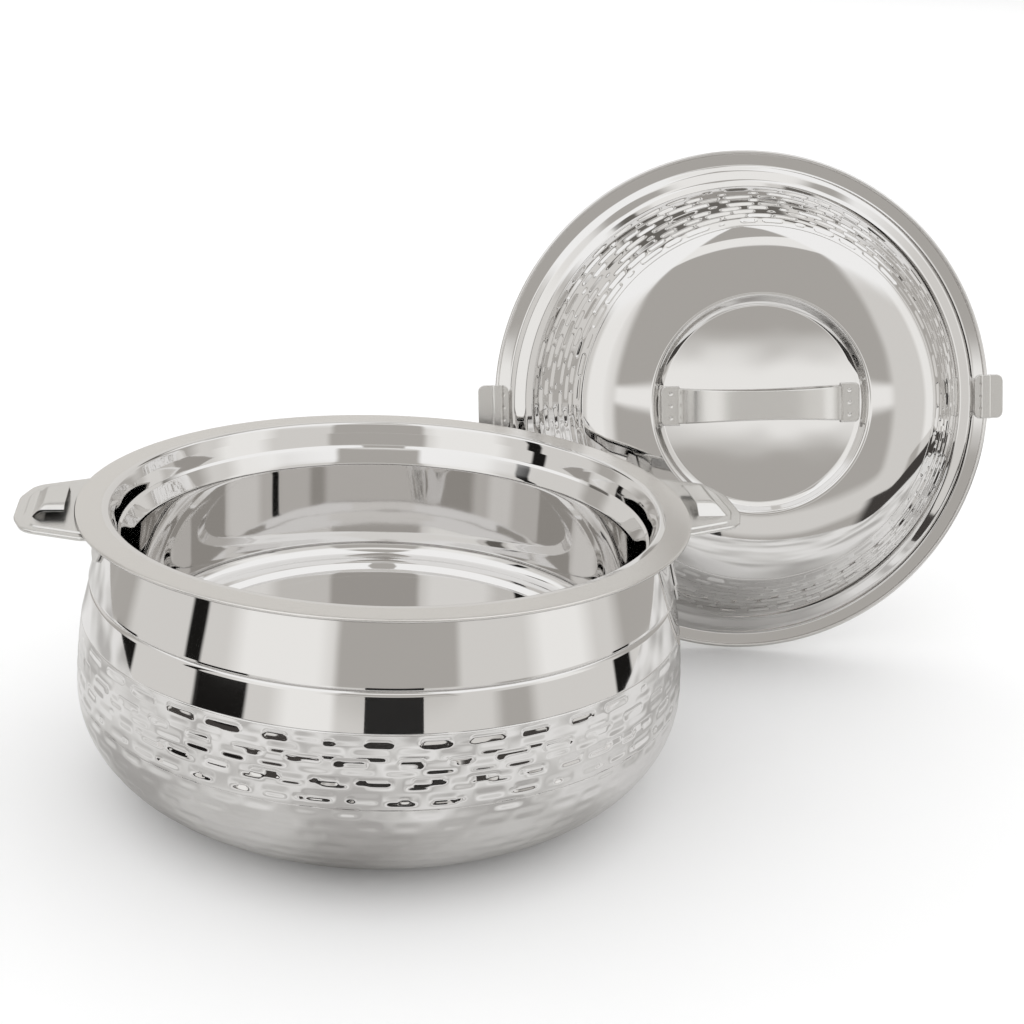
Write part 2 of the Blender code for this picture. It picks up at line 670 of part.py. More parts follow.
def make_lid(parts, tools):
    """The lid, leaning back on its rim. It turns about the axis of the lid_turn empty."""
    seat = new_object("lid_seat", None, parts)
    lean = math.radians(LID_LEAN)
    stand = Matrix.Translation((LID_PLACE_X, LID_PLACE_Y, LID_RADIUS * math.cos(lean)))
    yaw = Matrix.Rotation(math.radians(LID_YAW), 4, "Z")
    tilt = Matrix.Rotation(math.pi / 2 - lean, 4, "X")
    roll = Matrix.Rotation(math.radians(LID_ROLL), 4, "Z")
    seat.matrix_world = stand @ yaw @ tilt @ roll
    lid = new_object("lid_turn", None, parts)
    lid.parent = seat
    gasket = turned("lid_gasket", gasket_line(), parts, closed=True)
    gasket.parent = seat
    paint(gasket, WHITE_SILICONE)
    pieces = [
        (turned("lid_shell", lid_line(), parts, SHEET), MIRROR_STEEL),
        (turned("lid_liner", liner_line(), parts, SHEET), MIRROR_STEEL),
        (turned("lid_insulation", lid_foam_line(), parts), CREAM_FOAM),
    ]
    for piece, finish in pieces:
        piece.parent = lid
        paint(piece, finish)
    make_strap(lid, parts, tools)
    make_clips(lid, parts, tools)


def main():
    clear_scene()
    parts = new_collection("chapati_casserole")
    tools = new_collection("tools", hidden=True)
    make_bowl(parts, tools)
    make_lid(parts, tools)


main()
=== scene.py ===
import json
import math

import bpy
import numpy as np
from mathutils import Matrix, Vector


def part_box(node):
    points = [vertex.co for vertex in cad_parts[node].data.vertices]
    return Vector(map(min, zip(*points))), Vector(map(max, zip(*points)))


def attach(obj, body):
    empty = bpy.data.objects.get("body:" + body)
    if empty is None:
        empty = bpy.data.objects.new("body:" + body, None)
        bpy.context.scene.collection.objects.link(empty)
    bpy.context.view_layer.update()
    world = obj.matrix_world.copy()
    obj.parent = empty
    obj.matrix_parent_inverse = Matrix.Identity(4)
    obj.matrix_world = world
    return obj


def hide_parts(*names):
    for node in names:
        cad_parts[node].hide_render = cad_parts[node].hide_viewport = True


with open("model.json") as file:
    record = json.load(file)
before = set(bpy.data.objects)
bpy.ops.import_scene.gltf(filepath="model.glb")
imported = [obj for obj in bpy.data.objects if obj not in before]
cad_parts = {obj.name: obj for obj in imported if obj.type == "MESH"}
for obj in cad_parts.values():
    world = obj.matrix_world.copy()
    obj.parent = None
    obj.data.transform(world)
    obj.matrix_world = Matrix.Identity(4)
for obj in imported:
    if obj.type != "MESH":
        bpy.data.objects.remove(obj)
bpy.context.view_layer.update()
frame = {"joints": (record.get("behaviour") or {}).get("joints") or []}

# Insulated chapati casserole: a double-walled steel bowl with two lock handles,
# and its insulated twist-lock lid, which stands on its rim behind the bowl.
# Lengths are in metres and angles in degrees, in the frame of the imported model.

print("frame loaded")

# Driving sizes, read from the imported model
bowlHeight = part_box("inner_vessel")[1].z
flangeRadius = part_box("inner_vessel")[1].x
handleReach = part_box("right_handle_plate")[1].x
lidTwist = next(joint for joint in frame["joints"] if joint["name"] == "lid_twist")

general = {
    "sheet": 0.0008,         # the shells
    "fittingSheet": 0.0012,  # handles, strap and clips
    "gap": 0.0003,           # between touching pieces
    "edgeFillet": 0.0003,    # round of a cut sheet's edge
    "arcRuns": 6,            # least number of runs in a fillet
    "arcChord": 0.0008,      # longest run in a fillet
    "innerStep": 0.003,      # between rows on the hidden side of a sheet
}


# Profiles and grids

def roundedLine(corners):
    # Straight runs between (x, y, fillet) corners. A fillet is an arc tangent to both runs at its corner.
    corners = np.array(corners, float)
    points = [corners[0, :2]]
    for before, corner, after in zip(corners[:-2], corners[1:-1], corners[2:]):
        here, fillet = corner[:2], corner[2]
        back, ahead = before[:2] - here, after[:2] - here
        backLength, aheadLength = np.hypot(*back), np.hypot(*ahead)
        back, ahead = back / backLength, ahead / aheadLength
        if fillet == 0:
            points.append(here)
            continue
        half = math.acos(max(-1, min(1, back @ ahead))) / 2
        reach = min(fillet / math.tan(half), 0.499 * backLength, 0.499 * aheadLength)
        radius = reach * math.tan(half)
        middle = (back + ahead) / np.hypot(*(back + ahead))
        centre = here + middle * radius / math.sin(half)
        spoke = here + back * reach - centre
        turn = math.copysign(math.pi - 2 * half, ahead[0] * back[1] - ahead[1] * back[0])
        runs = max(general["arcRuns"], math.ceil(abs(turn) * radius / general["arcChord"]))
        angles = turn * np.arange(runs + 1) / runs
        cosines, sines = np.cos(angles), np.sin(angles)
        arc = np.column_stack([spoke[0] * cosines - spoke[1] * sines, spoke[0] * sines + spoke[1] * cosines])
        points.extend(centre + arc)
    points.append(corners[-1, :2])
    return np.array(points)


def refined(line, step):
    # The same line, with points added at equal spacing so that no run is longer than step
    runs = np.hypot(*np.diff(line, axis=0).T)
    counts = np.maximum(1, np.ceil(runs / step - 0.001)).astype(int)
    marks = np.concatenate([[0], np.cumsum(counts)])
    stations = np.arange(marks[-1] + 1)
    return np.column_stack([np.interp(stations, marks, line[:, axis]) for axis in (0, 1)])


def leftNormals(line):
    # Unit normals on the left of a line: each is the mean of the directions of its two runs, turned a quarter
    runs = np.diff(line, axis=0)
    runs = runs / np.maximum(np.hypot(*runs.T), 1e-12)[:, None]
    means = np.vstack([runs[:1], runs[:-1] + runs[1:], runs[-1:]])
    means = means / np.hypot(*means.T)[:, None]
    return np.column_stack([-means[:, 1], means[:, 0]])


def lineLengths(line):
    # Distance along a line from its first point
    return np.concatenate([[0], np.cumsum(np.hypot(*np.diff(line, axis=0).T))])


def sheetLoop(line, wall, step):
    # A closed section: the line, then the same line moved to its left by the wall, walked back
    inner = line + leftNormals(line) * wall
    return np.vstack([line, refined(inner[::-1], step)])


def turnedGrid(line, steps):
    # A (radius, height) line turned about Z: x and y are the radius times cosine and sine of the turn
    turn = 2 * np.pi * np.arange(steps) / steps
    radius, height = line[:, :1], line[:, 1:]
    return np.stack([radius * np.cos(turn), radius * np.sin(turn), height + 0 * turn], axis=-1)


def gridPiece(name, grid, closedRows=False, closedColumns=True, rowSlots=None):
    # Quads between the neighbours of a grid of points. Points that fall together are merged, so a row
    # that shrinks to one point becomes a pole. The faces are turned outwards by the sign of the volume.
    rows, columns = grid.shape[:2]
    index = np.arange(rows * columns).reshape(rows, columns)
    ahead = np.roll(index, -1, 0) if closedRows else index[1:]
    here = index if closedRows else index[:-1]
    if closedColumns:
        corners = [here, np.roll(here, -1, 1), np.roll(ahead, -1, 1), ahead]
    else:
        corners = [here[:, :-1], here[:, 1:], ahead[:, 1:], ahead[:, :-1]]
    quads = np.stack(corners, -1).reshape(-1, 4)
    slots = np.zeros(len(here), int) if rowSlots is None else np.asarray(rowSlots)[:len(here)]
    slots = np.repeat(slots, len(quads) // len(here))
    keys = np.round(grid.reshape(-1, 3) * 1e7).astype(np.int64)
    _, first, merged = np.unique(keys, axis=0, return_index=True, return_inverse=True)
    points = grid.reshape(-1, 3)[first]
    quads = merged.reshape(-1)[quads]
    return facedPiece(name, points, quads, slots)


def facedPiece(name, points, quads, slots):
    # A mesh from quads, some of which have merged corners: one merged pair makes a triangle, two make nothing
    same = quads == np.roll(quads, -1, 1)
    whole = ~same.any(1)
    single = same.sum(1) == 1
    start = np.argmax(same[single], 1)
    order = (start[:, None] + np.arange(1, 4)) % 4
    triangles = np.take_along_axis(quads[single], order, 1)
    quads = quads[whole]
    halves = np.vstack([quads[:, :3], quads[:, [0, 2, 3]], triangles])
    a, b, c = points[halves[:, 0]], points[halves[:, 1]], points[halves[:, 2]]
    if np.einsum("ij,ij->", a, np.cross(b, c)) < 0:
        quads, triangles = quads[:, ::-1], triangles[:, ::-1]
    mesh = bpy.data.meshes.new(name)
    corners = np.concatenate([quads.ravel(), triangles.ravel()]).astype(np.int32)
    starts = np.concatenate([4 * np.arange(len(quads)), 4 * len(quads) + 3 * np.arange(len(triangles))])
    mesh.vertices.add(len(points))
    mesh.vertices.foreach_set("co", points.astype(np.float32).ravel())
    mesh.loops.add(len(corners))
    mesh.loops.foreach_set("vertex_index", corners)
    mesh.polygons.add(len(starts))
    mesh.polygons.foreach_set("loop_start", starts.astype(np.int32))
    slots = np.concatenate([slots[whole], slots[single]])
    mesh.polygons.foreach_set("material_index", slots.astype(np.int32))
    mesh.update(calc_edges=True)
    mesh.validate()
    mesh.shade_smooth()
    piece = bpy.data.objects.new(name, mesh)
    bpy.context.scene.collection.objects.link(piece)
    return piece


def finishPiece(piece, body, nodes, slot, *materials):
    # Its materials, the body it rides on, the imported nodes it stands for; its slot is not used
    for material in materials:
        piece.data.materials.append(material)
    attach(piece, body)
    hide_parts(*nodes)
    return piece


# Materials

def linear(code):
    # sRGB hex to linear light: a straight run near black, and a power of 2.4 above it
    parts = np.array([int(code[i:i + 2], 16) for i in (1, 3, 5)]) / 255
    return (*np.where(parts <= 0.04045, parts / 12.92, ((parts + 0.055) / 1.055) ** 2.4), 1.0)


def addNode(tree, kind, settings=(), links=()):
    # One node, with its own settings, its sockets' values and what feeds them. Stops are (place, hex colour).
    node = tree.nodes.new(kind)
    for name, value in dict(settings).items():
        if name == "stops":
            elements = node.color_ramp.elements
            elements[0].position, elements[1].position = value[0][0], value[-1][0]
            for position, _ in value[1:-1]:
                elements.new(position)
            for element, (position, code) in zip(elements, value):
                element.color = linear(code)
        elif isinstance(name, str) and hasattr(node, name):
            setattr(node, name, value)
        else:
            node.inputs[name].default_value = value
    for name, source in dict(links).items():
        tree.links.new(source, node.inputs[name])
    return node


def newMaterial(name, colour, metallic, roughness):
    # A material with its even values set, returned with its node tree and its shader for what varies
    material = bpy.data.materials.new(name)
    material.use_nodes = True
    shader = material.node_tree.nodes["Principled BSDF"]
    shader.inputs["Base Color"].default_value = linear(colour)
    shader.inputs["Metallic"].default_value = metallic
    shader.inputs["Roughness"].default_value = roughness
    return material, material.node_tree, shader


def makeMirrorSteel():
    # Mirror-polished stainless sheet: clear reflections that swim a little over the polishing wheel's waves,
    # about 36 mm long
    material, tree, shader = newMaterial("mirror_polished_steel", "#E6E5E4", 1.0, 0.035)
    place = addNode(tree, "ShaderNodeTexCoord")
    waves = addNode(
        tree, "ShaderNodeTexNoise", {"Scale": 28, "Detail": 1}, {"Vector": place.outputs["Object"]}
    )
    bump = addNode(
        tree, "ShaderNodeBump", {"Strength": 0.25, "Distance": 0.0004}, {"Height": waves.outputs["Fac"]}
    )
    tree.links.new(bump.outputs["Normal"], shader.inputs["Normal"])
    return material


def makeSpunSteel():
    # Turned satin of the bowl's flange: fine rings round the axis, 0.45 mm apart, coarser than real ones so
    # that they show
    material, tree, shader = newMaterial("spun_satin_steel", "#E6E4E1", 1.0, 0.24)
    place = addNode(tree, "ShaderNodeTexCoord")
    split = addNode(tree, "ShaderNodeSeparateXYZ", {}, {"Vector": place.outputs["Object"]})
    flat = addNode(
        tree, "ShaderNodeCombineXYZ", {}, {"X": split.outputs["X"], "Y": split.outputs["Y"]}
    )
    reach = addNode(tree, "ShaderNodeVectorMath", {"operation": "LENGTH"}, {0: flat.outputs["Vector"]})
    rings = addNode(
        tree, "ShaderNodeTexNoise", {"noise_dimensions": "1D", "Scale": 2200, "Detail": 2},
        {"W": reach.outputs["Value"]},
    )
    bump = addNode(
        tree, "ShaderNodeBump", {"Strength": 0.15, "Distance": 0.0001}, {"Height": rings.outputs["Fac"]}
    )
    tree.links.new(bump.outputs["Normal"], shader.inputs["Normal"])
    return material


def makeBrushedSteel(name, turn, stretch):
    # Satin-brushed sheet: lines drawn out along one direction of the piece, 0.2 mm apart on the plates and
    # 0.5 mm on strap and clips, coarser than real ones so that they show
    material, tree, shader = newMaterial(name, "#E4E3E1", 1.0, 0.26)
    place = addNode(tree, "ShaderNodeTexCoord")
    drawn = addNode(
        tree, "ShaderNodeMapping", {"Rotation": turn, "Scale": stretch}, {"Vector": place.outputs["Object"]}
    )
    lines = addNode(
        tree, "ShaderNodeTexNoise", {"Scale": 1.0, "Detail": 3}, {"Vector": drawn.outputs["Vector"]}
    )
    rough = addNode(
        tree, "ShaderNodeMapRange", {"To Min": 0.20, "To Max": 0.28}, {"Value": lines.outputs["Fac"]}
    )
    tree.links.new(rough.outputs["Result"], shader.inputs["Roughness"])
    bump = addNode(
        tree, "ShaderNodeBump", {"Strength": 0.07, "Distance": 0.0001}, {"Height": lines.outputs["Fac"]}
    )
    tree.links.new(bump.outputs["Normal"], shader.inputs["Normal"])
    return material


def makeSilicone():
    # Moulded white silicone: soft sheen, with a faint bloom
    material, tree, shader = newMaterial("white_silicone", "#E9E7E0", 0.0, 0.45)
    place = addNode(tree, "ShaderNodeTexCoord")
    bloom = addNode(
        tree, "ShaderNodeTexNoise", {"Scale": 180, "Detail": 3}, {"Vector": place.outputs["Object"]}
    )
    rough = addNode(
        tree, "ShaderNodeMapRange", {"To Min": 0.38, "To Max": 0.55}, {"Value": bloom.outputs["Fac"]}
    )
    tree.links.new(rough.outputs["Result"], shader.inputs["Roughness"])
    return material


def makeFoam():
    # Rigid polyurethane foam: dry cream cells about 0.5 mm across
    material, tree, shader = newMaterial("cream_polyurethane_foam", "#EBDDB0", 0.0, 0.9)
    place = addNode(tree, "ShaderNodeTexCoord")
    cells = addNode(tree, "ShaderNodeTexVoronoi", {"Scale": 2000}, {"Vector": place.outputs["Object"]})
    bump = addNode(
        tree, "ShaderNodeBump", {"Strength": 0.5, "Distance": 0.0003}, {"Height": cells.outputs["Distance"]}
    )
    tree.links.new(bump.outputs["Normal"], shader.inputs["Normal"])
    return material


# Where the lid stands: its axis from the joint, and its roll about that axis
lidSizes = {
    "overhang": 0.0006,   # of the rim past the bowl's flange
    "roll": 3.70,         # of the strap, about the lid's axis
}
lidAxis = Vector(lidTwist["axis"]).normalized()
lidCentre = Vector(lidTwist["pos_m"])
levelX = Vector((0, 0, 1)).cross(-lidAxis).normalized() * -1
levelY = lidAxis.cross(levelX)
roll = math.radians(lidSizes["roll"])
lidX = levelX * math.cos(roll) + levelY * math.sin(roll)
lidY = lidAxis.cross(lidX)
lidTurn = np.array([lidX, lidY, lidAxis]).T


def lidPlaced(grid):
    # From the lid's own frame to the object's: turned by the lid's three axes, then moved to its centre
    return grid @ lidTurn.T + np.array(lidCentre)


mirrorSteel = makeMirrorSteel()
spunSteel = makeSpunSteel()
plateSteel = makeBrushedSteel("brushed_plate_steel", (0, 0, 0), (60, 5000, 5000))
lidBrush = tuple(Matrix(lidTurn.tolist()).inverted().to_euler())
strapSteel = makeBrushedSteel("brushed_strap_steel", lidBrush, (20, 2000, 2000))
silicone = makeSilicone()
foam = makeFoam()
print("materials made")


# Hammered dents

markShape = {
    "heightSpread": 0.15,
    "smallHeight": 0.7,    # of a small mark, to a whole one's
    "smallLength": 1.6,    # of a small mark, to its own height
    "widest": 0.47,        # half length of a mark, to the cells' pitch
}
hollowShape = {
    "wander": 0.08,        # of the middle, to the pitch
    "halfLength": 0.42,    # to the cells' pitch
    "lengthSpread": 0.2,
    "halfHeight": 0.5,     # to the rows' pitch
    "squareness": 3,       # power that flattens the cosine wave across
    "depthSpread": 0.5,
}


def cellPlaces(rows, along, radius, columns):
    # For every point of a turned surface: its row, its cell in that row, and its place from the cell's middle
    level = np.round((along - rows["start"]) / rows["pitch"])
    level = np.clip(level, 0, rows["rows"] - 1).astype(int)[:, None]
    shift = np.resize(rows["shifts"], rows["rows"])[level]
    spot = np.arange(columns)[None, :] / columns * rows["cells"] + shift
    pitch = 2 * np.pi * radius[:, None] / rows["cells"]
    x = (spot - np.floor(spot) - 0.5) * pitch
    y = along[:, None] - rows["start"] - level * rows["pitch"]
    return level, np.floor(spot).astype(int) % rows["cells"], x, y + 0 * x, pitch


def struck(rows, along, radius, columns):
    # Depth of rows of hammer marks. A mark is a slot with round ends. Its floor slopes evenly from the
    # deep side up to the surface, and a short lip closes the deep side and the ends.
    rng = np.random.default_rng(rows["seed"])
    draws = rng.uniform(-1, 1, (5, rows["rows"], rows["cells"]))
    smallShare = np.resize(rows["smallShare"], rows["rows"])[:, None]
    small = rng.uniform(0, 1, (rows["rows"], rows["cells"])) < smallShare
    level, cell, x, y, pitch = cellPlaces(rows, along, radius, columns)
    shiftX, shiftY, length, height, steep = (draw[level, cell] for draw in draws)
    small = small[level, cell]
    m = markShape
    halfHeight = rows["halfHeight"] * (1 + m["heightSpread"] * height) * np.where(small, m["smallHeight"], 1)
    whole = rows["halfLength"] * (1 + rows["unevenness"] * length)
    halfLength = np.minimum(np.where(small, m["smallLength"] * halfHeight, whole), m["widest"] * pitch)
    x = x - rows["wanderX"] * shiftX
    y = (y - rows["wanderY"] * shiftY) * rows["facing"]
    past = np.maximum(np.abs(x) - (halfLength - halfHeight), 0)
    outside = np.hypot(past, y) / halfHeight
    lip = np.clip((1 - outside) / rows["lip"], 0, 1)
    lip = lip * lip * (3 - 2 * lip)
    tilt = np.resize(rows["tilts"], rows["rows"])[level] * (1 + rows["tiltSpread"] * steep)
    slope = np.tan(np.radians(tilt))
    return slope * np.clip(halfHeight - y, 0, None) * lip


def dimpled(rows, along, radius, columns):
    # Depth of rows of soft hollows: in its own cell each is half a cosine wave across and along
    rng = np.random.default_rng(rows["seed"])
    draws = rng.uniform(-1, 1, (4, rows["rows"], rows["cells"]))
    level, cell, x, y, pitch = cellPlaces(rows, along, radius, columns)
    shiftX, shiftY, length, depth = (draw[level, cell] for draw in draws)
    h = hollowShape
    halfLength = h["halfLength"] * (1 + h["lengthSpread"] * length)
    acrossX = np.clip((x / pitch - h["wander"] * shiftX) / halfLength, -1, 1)
    acrossY = np.clip((y / rows["pitch"] - h["wander"] * shiftY) / h["halfHeight"], -1, 1)
    fade = np.interp(along, rows["fadeAt"], (0, 1, 1, 0))[:, None]
    hollow = (0.5 + 0.5 * np.cos(np.pi * acrossX ** h["squareness"])) * (0.5 + 0.5 * np.cos(np.pi * acrossY))
    return rows["depth"] * fade * (1 + h["depthSpread"] * depth) * hollow


# Bowl

shellSizes = {
    "neckTopInset": 0.0130,   # from the flange's edge
    "creaseInset": 0.0050,
    "creaseDepth": 0.0312,    # under the flange's top
    "creaseStep": 0.0005,
    "creaseFillet": 0.0004,
    "beltWidth": 0.0160,
    "beltSpread": 0.0035,
    "bellySwell": 0.0064,     # past the crease
    "bellyHeight": 0.0480,
    "bellyBend": 1.7,         # power of the curve from the belt to the belly
    "baseInset": 0.0524,
    "baseLip": 0.018,
    "curveRuns": 59,          # of the power curve and of the ellipse
    "kink": 0.0002,           # how close two rows stand at the belt's lower end, to keep it sharp
    "neckStep": 0.0009,
    "neckSteps": 480,
    "beltRows": 8,
    "underRows": 30,          # between the belt and the first hammer marks
    "beltSteps": 960,
    "markRows": 66,
    "markSteps": 1280,
    "bellyRows": 64,
    "bellyCrowding": 1.5,     # power that crowds the belly's rows towards the marks
    "bellySteps": 640,
    "innerStride": 14,        # rows of the outer face to one of the inner
}
bellyMarks = {
    "seed": 11,
    "rows": 4,
    "cells": 40,
    "shifts": (0.09, 0.58, 0.18, 0.60),  # of each row round the bowl, in cells
    "start": 0.0207,         # first row's middle, along the belly under the crease
    "pitch": 0.0078,
    "wanderX": 0.0013,
    "wanderY": 0.0004,
    "halfLength": 0.0066,
    "halfHeight": 0.0019,
    "unevenness": 0.28,
    "smallShare": (0.12, 0.06, 0.25, 1.0),
    "lip": 0.30,
    "facing": 1,             # the deep side is the upper one
    "tilts": (4.6, 5.9, 7.7, 9.8),  # degrees, so that each row mirrors the same dark strip
    "tiltSpread": 0.10,
}
bellyHollows = {
    "seed": 5,
    "rows": 13,
    "cells": 52,
    "shifts": (0.1, 0.55, 0.85, 0.35, 0.7),
    "start": 0.0185,
    "pitch": 0.0062,
    "depth": 0.00036,
    "fadeAt": (0.0172, 0.040, 0.082, 0.098),  # along the belly: from none to full depth, and back to none
}


def neckLine():
    # A straight flare from under the flange down to the crease
    s = shellSizes
    crease = flangeRadius - s["creaseInset"]
    creaseHeight = bowlHeight - s["creaseDepth"]
    return roundedLine(
        [
            (flangeRadius - s["neckTopInset"], bowlHeight - general["sheet"] - general["gap"], 0),
            (crease, creaseHeight, s["creaseFillet"]),
            (crease - s["creaseStep"], creaseHeight - s["creaseStep"], 0),
        ]
    )


def bellyLine():
    # Under the crease: a straight plain belt, a power curve out to the belly, a quarter of an ellipse in to
    # the base, and a flat lip
    s = shellSizes
    start = flangeRadius - s["creaseInset"] - s["creaseStep"]
    high = bowlHeight - s["creaseDepth"] - s["creaseStep"]
    beltEnd, beltFoot = start + s["beltSpread"] + s["creaseStep"], high - s["beltWidth"]
    belly = flangeRadius - s["creaseInset"] + s["bellySwell"]
    base = belly - s["baseInset"]
    low = general["sheet"] + general["gap"]
    rise = np.linspace(1, 0, s["curveRuns"] + 1)[:-1]
    height = s["bellyHeight"] + (beltFoot - s["bellyHeight"]) * rise
    upper = np.column_stack([belly - (belly - beltEnd) * rise ** s["bellyBend"], height])
    angle = np.linspace(0, np.pi / 2, s["curveRuns"] + 1)
    inwards = base + (belly - base) * np.cos(angle)
    lower = np.column_stack([inwards, s["bellyHeight"] - (s["bellyHeight"] - low) * np.sin(angle)])
    return np.vstack([[(start, high)], upper, lower, [(base - s["baseLip"], low)]])


def turnedSheet(line, outward, depth, steps, stride):
    # The outer face, pressed in by the marks' depth along its normals, and then a coarser inner face one
    # sheet further in, which runs back to the start
    grid = turnedGrid(line, steps) - turnedGrid(outward, steps) * depth[..., None]
    inner = (line - outward * general["sheet"])[::-1]
    inner = np.vstack([inner[:-1:stride], inner[-1:]])
    return np.vstack([grid, turnedGrid(inner, steps)])


def makeShell():
    # Four turned sheets, one under the other: the neck, the belt, the hammered zone and the belly. Each
    # point is moved in by the hollows' depth, and in the hammered zone also by the marks'.
    s = shellSizes
    neck = sheetLoop(refined(neckLine(), s["neckStep"]), -general["sheet"], general["innerStep"])
    piece = gridPiece("outer_shell_neck", turnedGrid(neck, s["neckSteps"]), closedRows=True)
    finishPiece(piece, "bowl", ["outer_shell"], "mirror_steel", mirrorSteel)
    line = bellyLine()
    lengths = lineLengths(line)
    marksTop = bellyMarks["start"] - bellyMarks["pitch"] / 2
    marksEnd = marksTop + bellyMarks["rows"] * bellyMarks["pitch"]
    belt = lengths[1]
    shares = np.linspace(0, 1, s["bellyRows"]) ** s["bellyCrowding"]
    parts = {
        "belt": (
            np.append(
                np.linspace(0, belt - s["kink"], s["beltRows"]), np.linspace(belt, marksTop, s["underRows"])
            ),
            s["beltSteps"],
        ),
        "hammered": (np.linspace(marksTop, marksEnd, s["markRows"]), s["markSteps"]),
        "belly": (
            np.append(marksEnd + (lengths[-1] - s["baseLip"] - marksEnd) * shares, lengths[-1]),
            s["bellySteps"],
        ),
    }
    for name, (stations, steps) in parts.items():
        part = np.column_stack([np.interp(stations, lengths, line[:, axis]) for axis in (0, 1)])
        depth = dimpled(bellyHollows, stations, part[:, 0], steps)
        if name == "hammered":
            depth = depth + struck(bellyMarks, stations, part[:, 0], steps)
        grid = turnedSheet(part, leftNormals(part), depth, steps, s["innerStride"])
        piece = gridPiece("outer_shell_" + name, grid, closedRows=True)
        finishPiece(piece, "bowl", ["outer_shell"], "mirror_steel", mirrorSteel)


vesselSizes = {
    "flangeLip": 0.0012,
    "flangeFillet": 0.0006,
    "flangeWidth": 0.0142,
    "mouthFillet": 0.0016,
    "ledgeTopInset": 0.0022,  # from the mouth's edge
    "ledgeTopDepth": 0.0048,
    "ledgeFootInset": 0.0036,
    "ledgeFootDepth": 0.0109,
    "shoulderInset": 0.0048,
    "shoulderDepth": 0.0120,
    "wallInset": 0.0088,
    "wallDepth": 0.0190,
    "wallFillet": 0.004,
    "corner": 0.010,
    "floorHeight": 0.060,
    "floorRingInset": 0.014,  # from the wall
    "floorRingWidth": 0.018,
    "floorRingDepth": 0.0025,
    "floorStepRun": 0.003,
    "stepFillet": 0.0008,
    "rowStep": 0.0020,
    "steps": 300,
}


def makeVessel():
    # The floor's rings, the wall, the stepped mouth and the flange with its turned lip, as one sheet
    s = vesselSizes
    mouth = flangeRadius - s["flangeWidth"]
    wall = mouth - s["wallInset"]
    ring = wall - s["floorRingInset"]
    disc = ring - s["floorRingWidth"]
    floor = s["floorHeight"]
    valley = floor - s["floorRingDepth"]
    fillet = s["stepFillet"]
    line = roundedLine(
        [
            (0, floor, 0),
            (disc, floor, fillet),
            (disc + s["floorStepRun"], valley, fillet),
            (ring - s["floorStepRun"], valley, fillet),
            (ring, floor, fillet),
            (wall, floor, s["corner"]),
            (wall, bowlHeight - s["wallDepth"], s["wallFillet"]),
            (mouth - s["shoulderInset"], bowlHeight - s["shoulderDepth"], fillet),
            (mouth - s["ledgeFootInset"], bowlHeight - s["ledgeFootDepth"], fillet),
            (mouth - s["ledgeTopInset"], bowlHeight - s["ledgeTopDepth"], fillet),
            (mouth, bowlHeight, s["mouthFillet"]),
            (flangeRadius, bowlHeight, s["flangeFillet"]),
            (flangeRadius, bowlHeight - s["flangeLip"], 0),
        ]
    )
    line = refined(line, s["rowStep"])
    loop = sheetLoop(line, -general["sheet"], general["innerStep"])
    onFlange = (loop[:, 0] > mouth + s["mouthFillet"]) & (loop[:, 1] > bowlHeight - s["flangeLip"] / 2)
    piece = gridPiece("inner_vessel_shell", turnedGrid(loop, s["steps"]), rowSlots=onFlange)
    finishPiece(piece, "bowl", ["inner_vessel"], "mirror_steel", mirrorSteel, spunSteel)


baseSizes = {
    "plateInset": 0.004,
    "steps": 240,
}


def makeBasePlate():
    radius = flangeRadius - shellSizes["creaseInset"] + shellSizes["bellySwell"] - shellSizes["baseInset"]
    radius -= baseSizes["plateInset"]
    sheet = general["sheet"]
    round_ = general["edgeFillet"]
    line = roundedLine([(0, 0, 0), (radius, 0, round_), (radius, sheet, round_), (0, sheet, 0)])
    piece = gridPiece("base_disc", turnedGrid(refined(line, 0.004), baseSizes["steps"]))
    finishPiece(piece, "bowl", ["base_plate"], "satin_steel", spunSteel)


handleSizes = {
    "depth": 0.0016,          # top of the plate under the flange's top
    "hugInset": 0.0102,       # of the arc that hugs the neck, from the flange's edge
    "rootHalf": 0.0392,
    "rootInset": 0.005,
    "rootFillet": 0.002,
    "shoulderInset": 0.0050,  # from the tip
    "shoulderHalf": 0.0285,
    "shoulderFillet": 0.012,
    "noseHalf": 0.0130,
    "noseFillet": 0.020,
    "edgeDrop": 0.0022,       # of the turned-down edge, under the plate's top
    "border": 0.0040,         # flat edge outside the pressed step
    "stepRun": 0.0009,
    "stepRise": 0.0006,
    "edgeShare": 0.7,         # thickness of the turned-down edge, to the sheet's
    "edgeRoot": 0.0003,       # fillets of the edge: inside, at its foot, and along its top
    "edgeFoot": 0.0002,
    "edgeTop": 0.0008,
    "innerRun": 0.0006,       # flat ring inside the step, and how far off its middle lies
    "middleInset": 0.004,
    "blendPoints": 6,         # beside the arc, over which edge and step fade in
    "arcPoints": 90,
    "sidePoints": 300,
}
pocketSizes = {
    "rise": 0.0048,
    "wall": 0.0009,
    "flangeGap": 0.0033,
    "topLength": 0.0088,
    "topHalf": 0.0125,
    "outerSlope": 0.0044,
    "endSlope": 0.0060,
    "mouthRise": 0.0030,      # of the sheet's end at the open end
    "fold": 0.0006,           # round of the folds
    "pointsX": 80,
    "pointsY": 150,
}


def evenly(line, count):
    # The same line at a number of evenly spaced points
    lengths = lineLengths(line)
    marks = np.linspace(0, lengths[-1], count)
    return np.column_stack([np.interp(marks, lengths, line[:, axis]) for axis in (0, 1)])


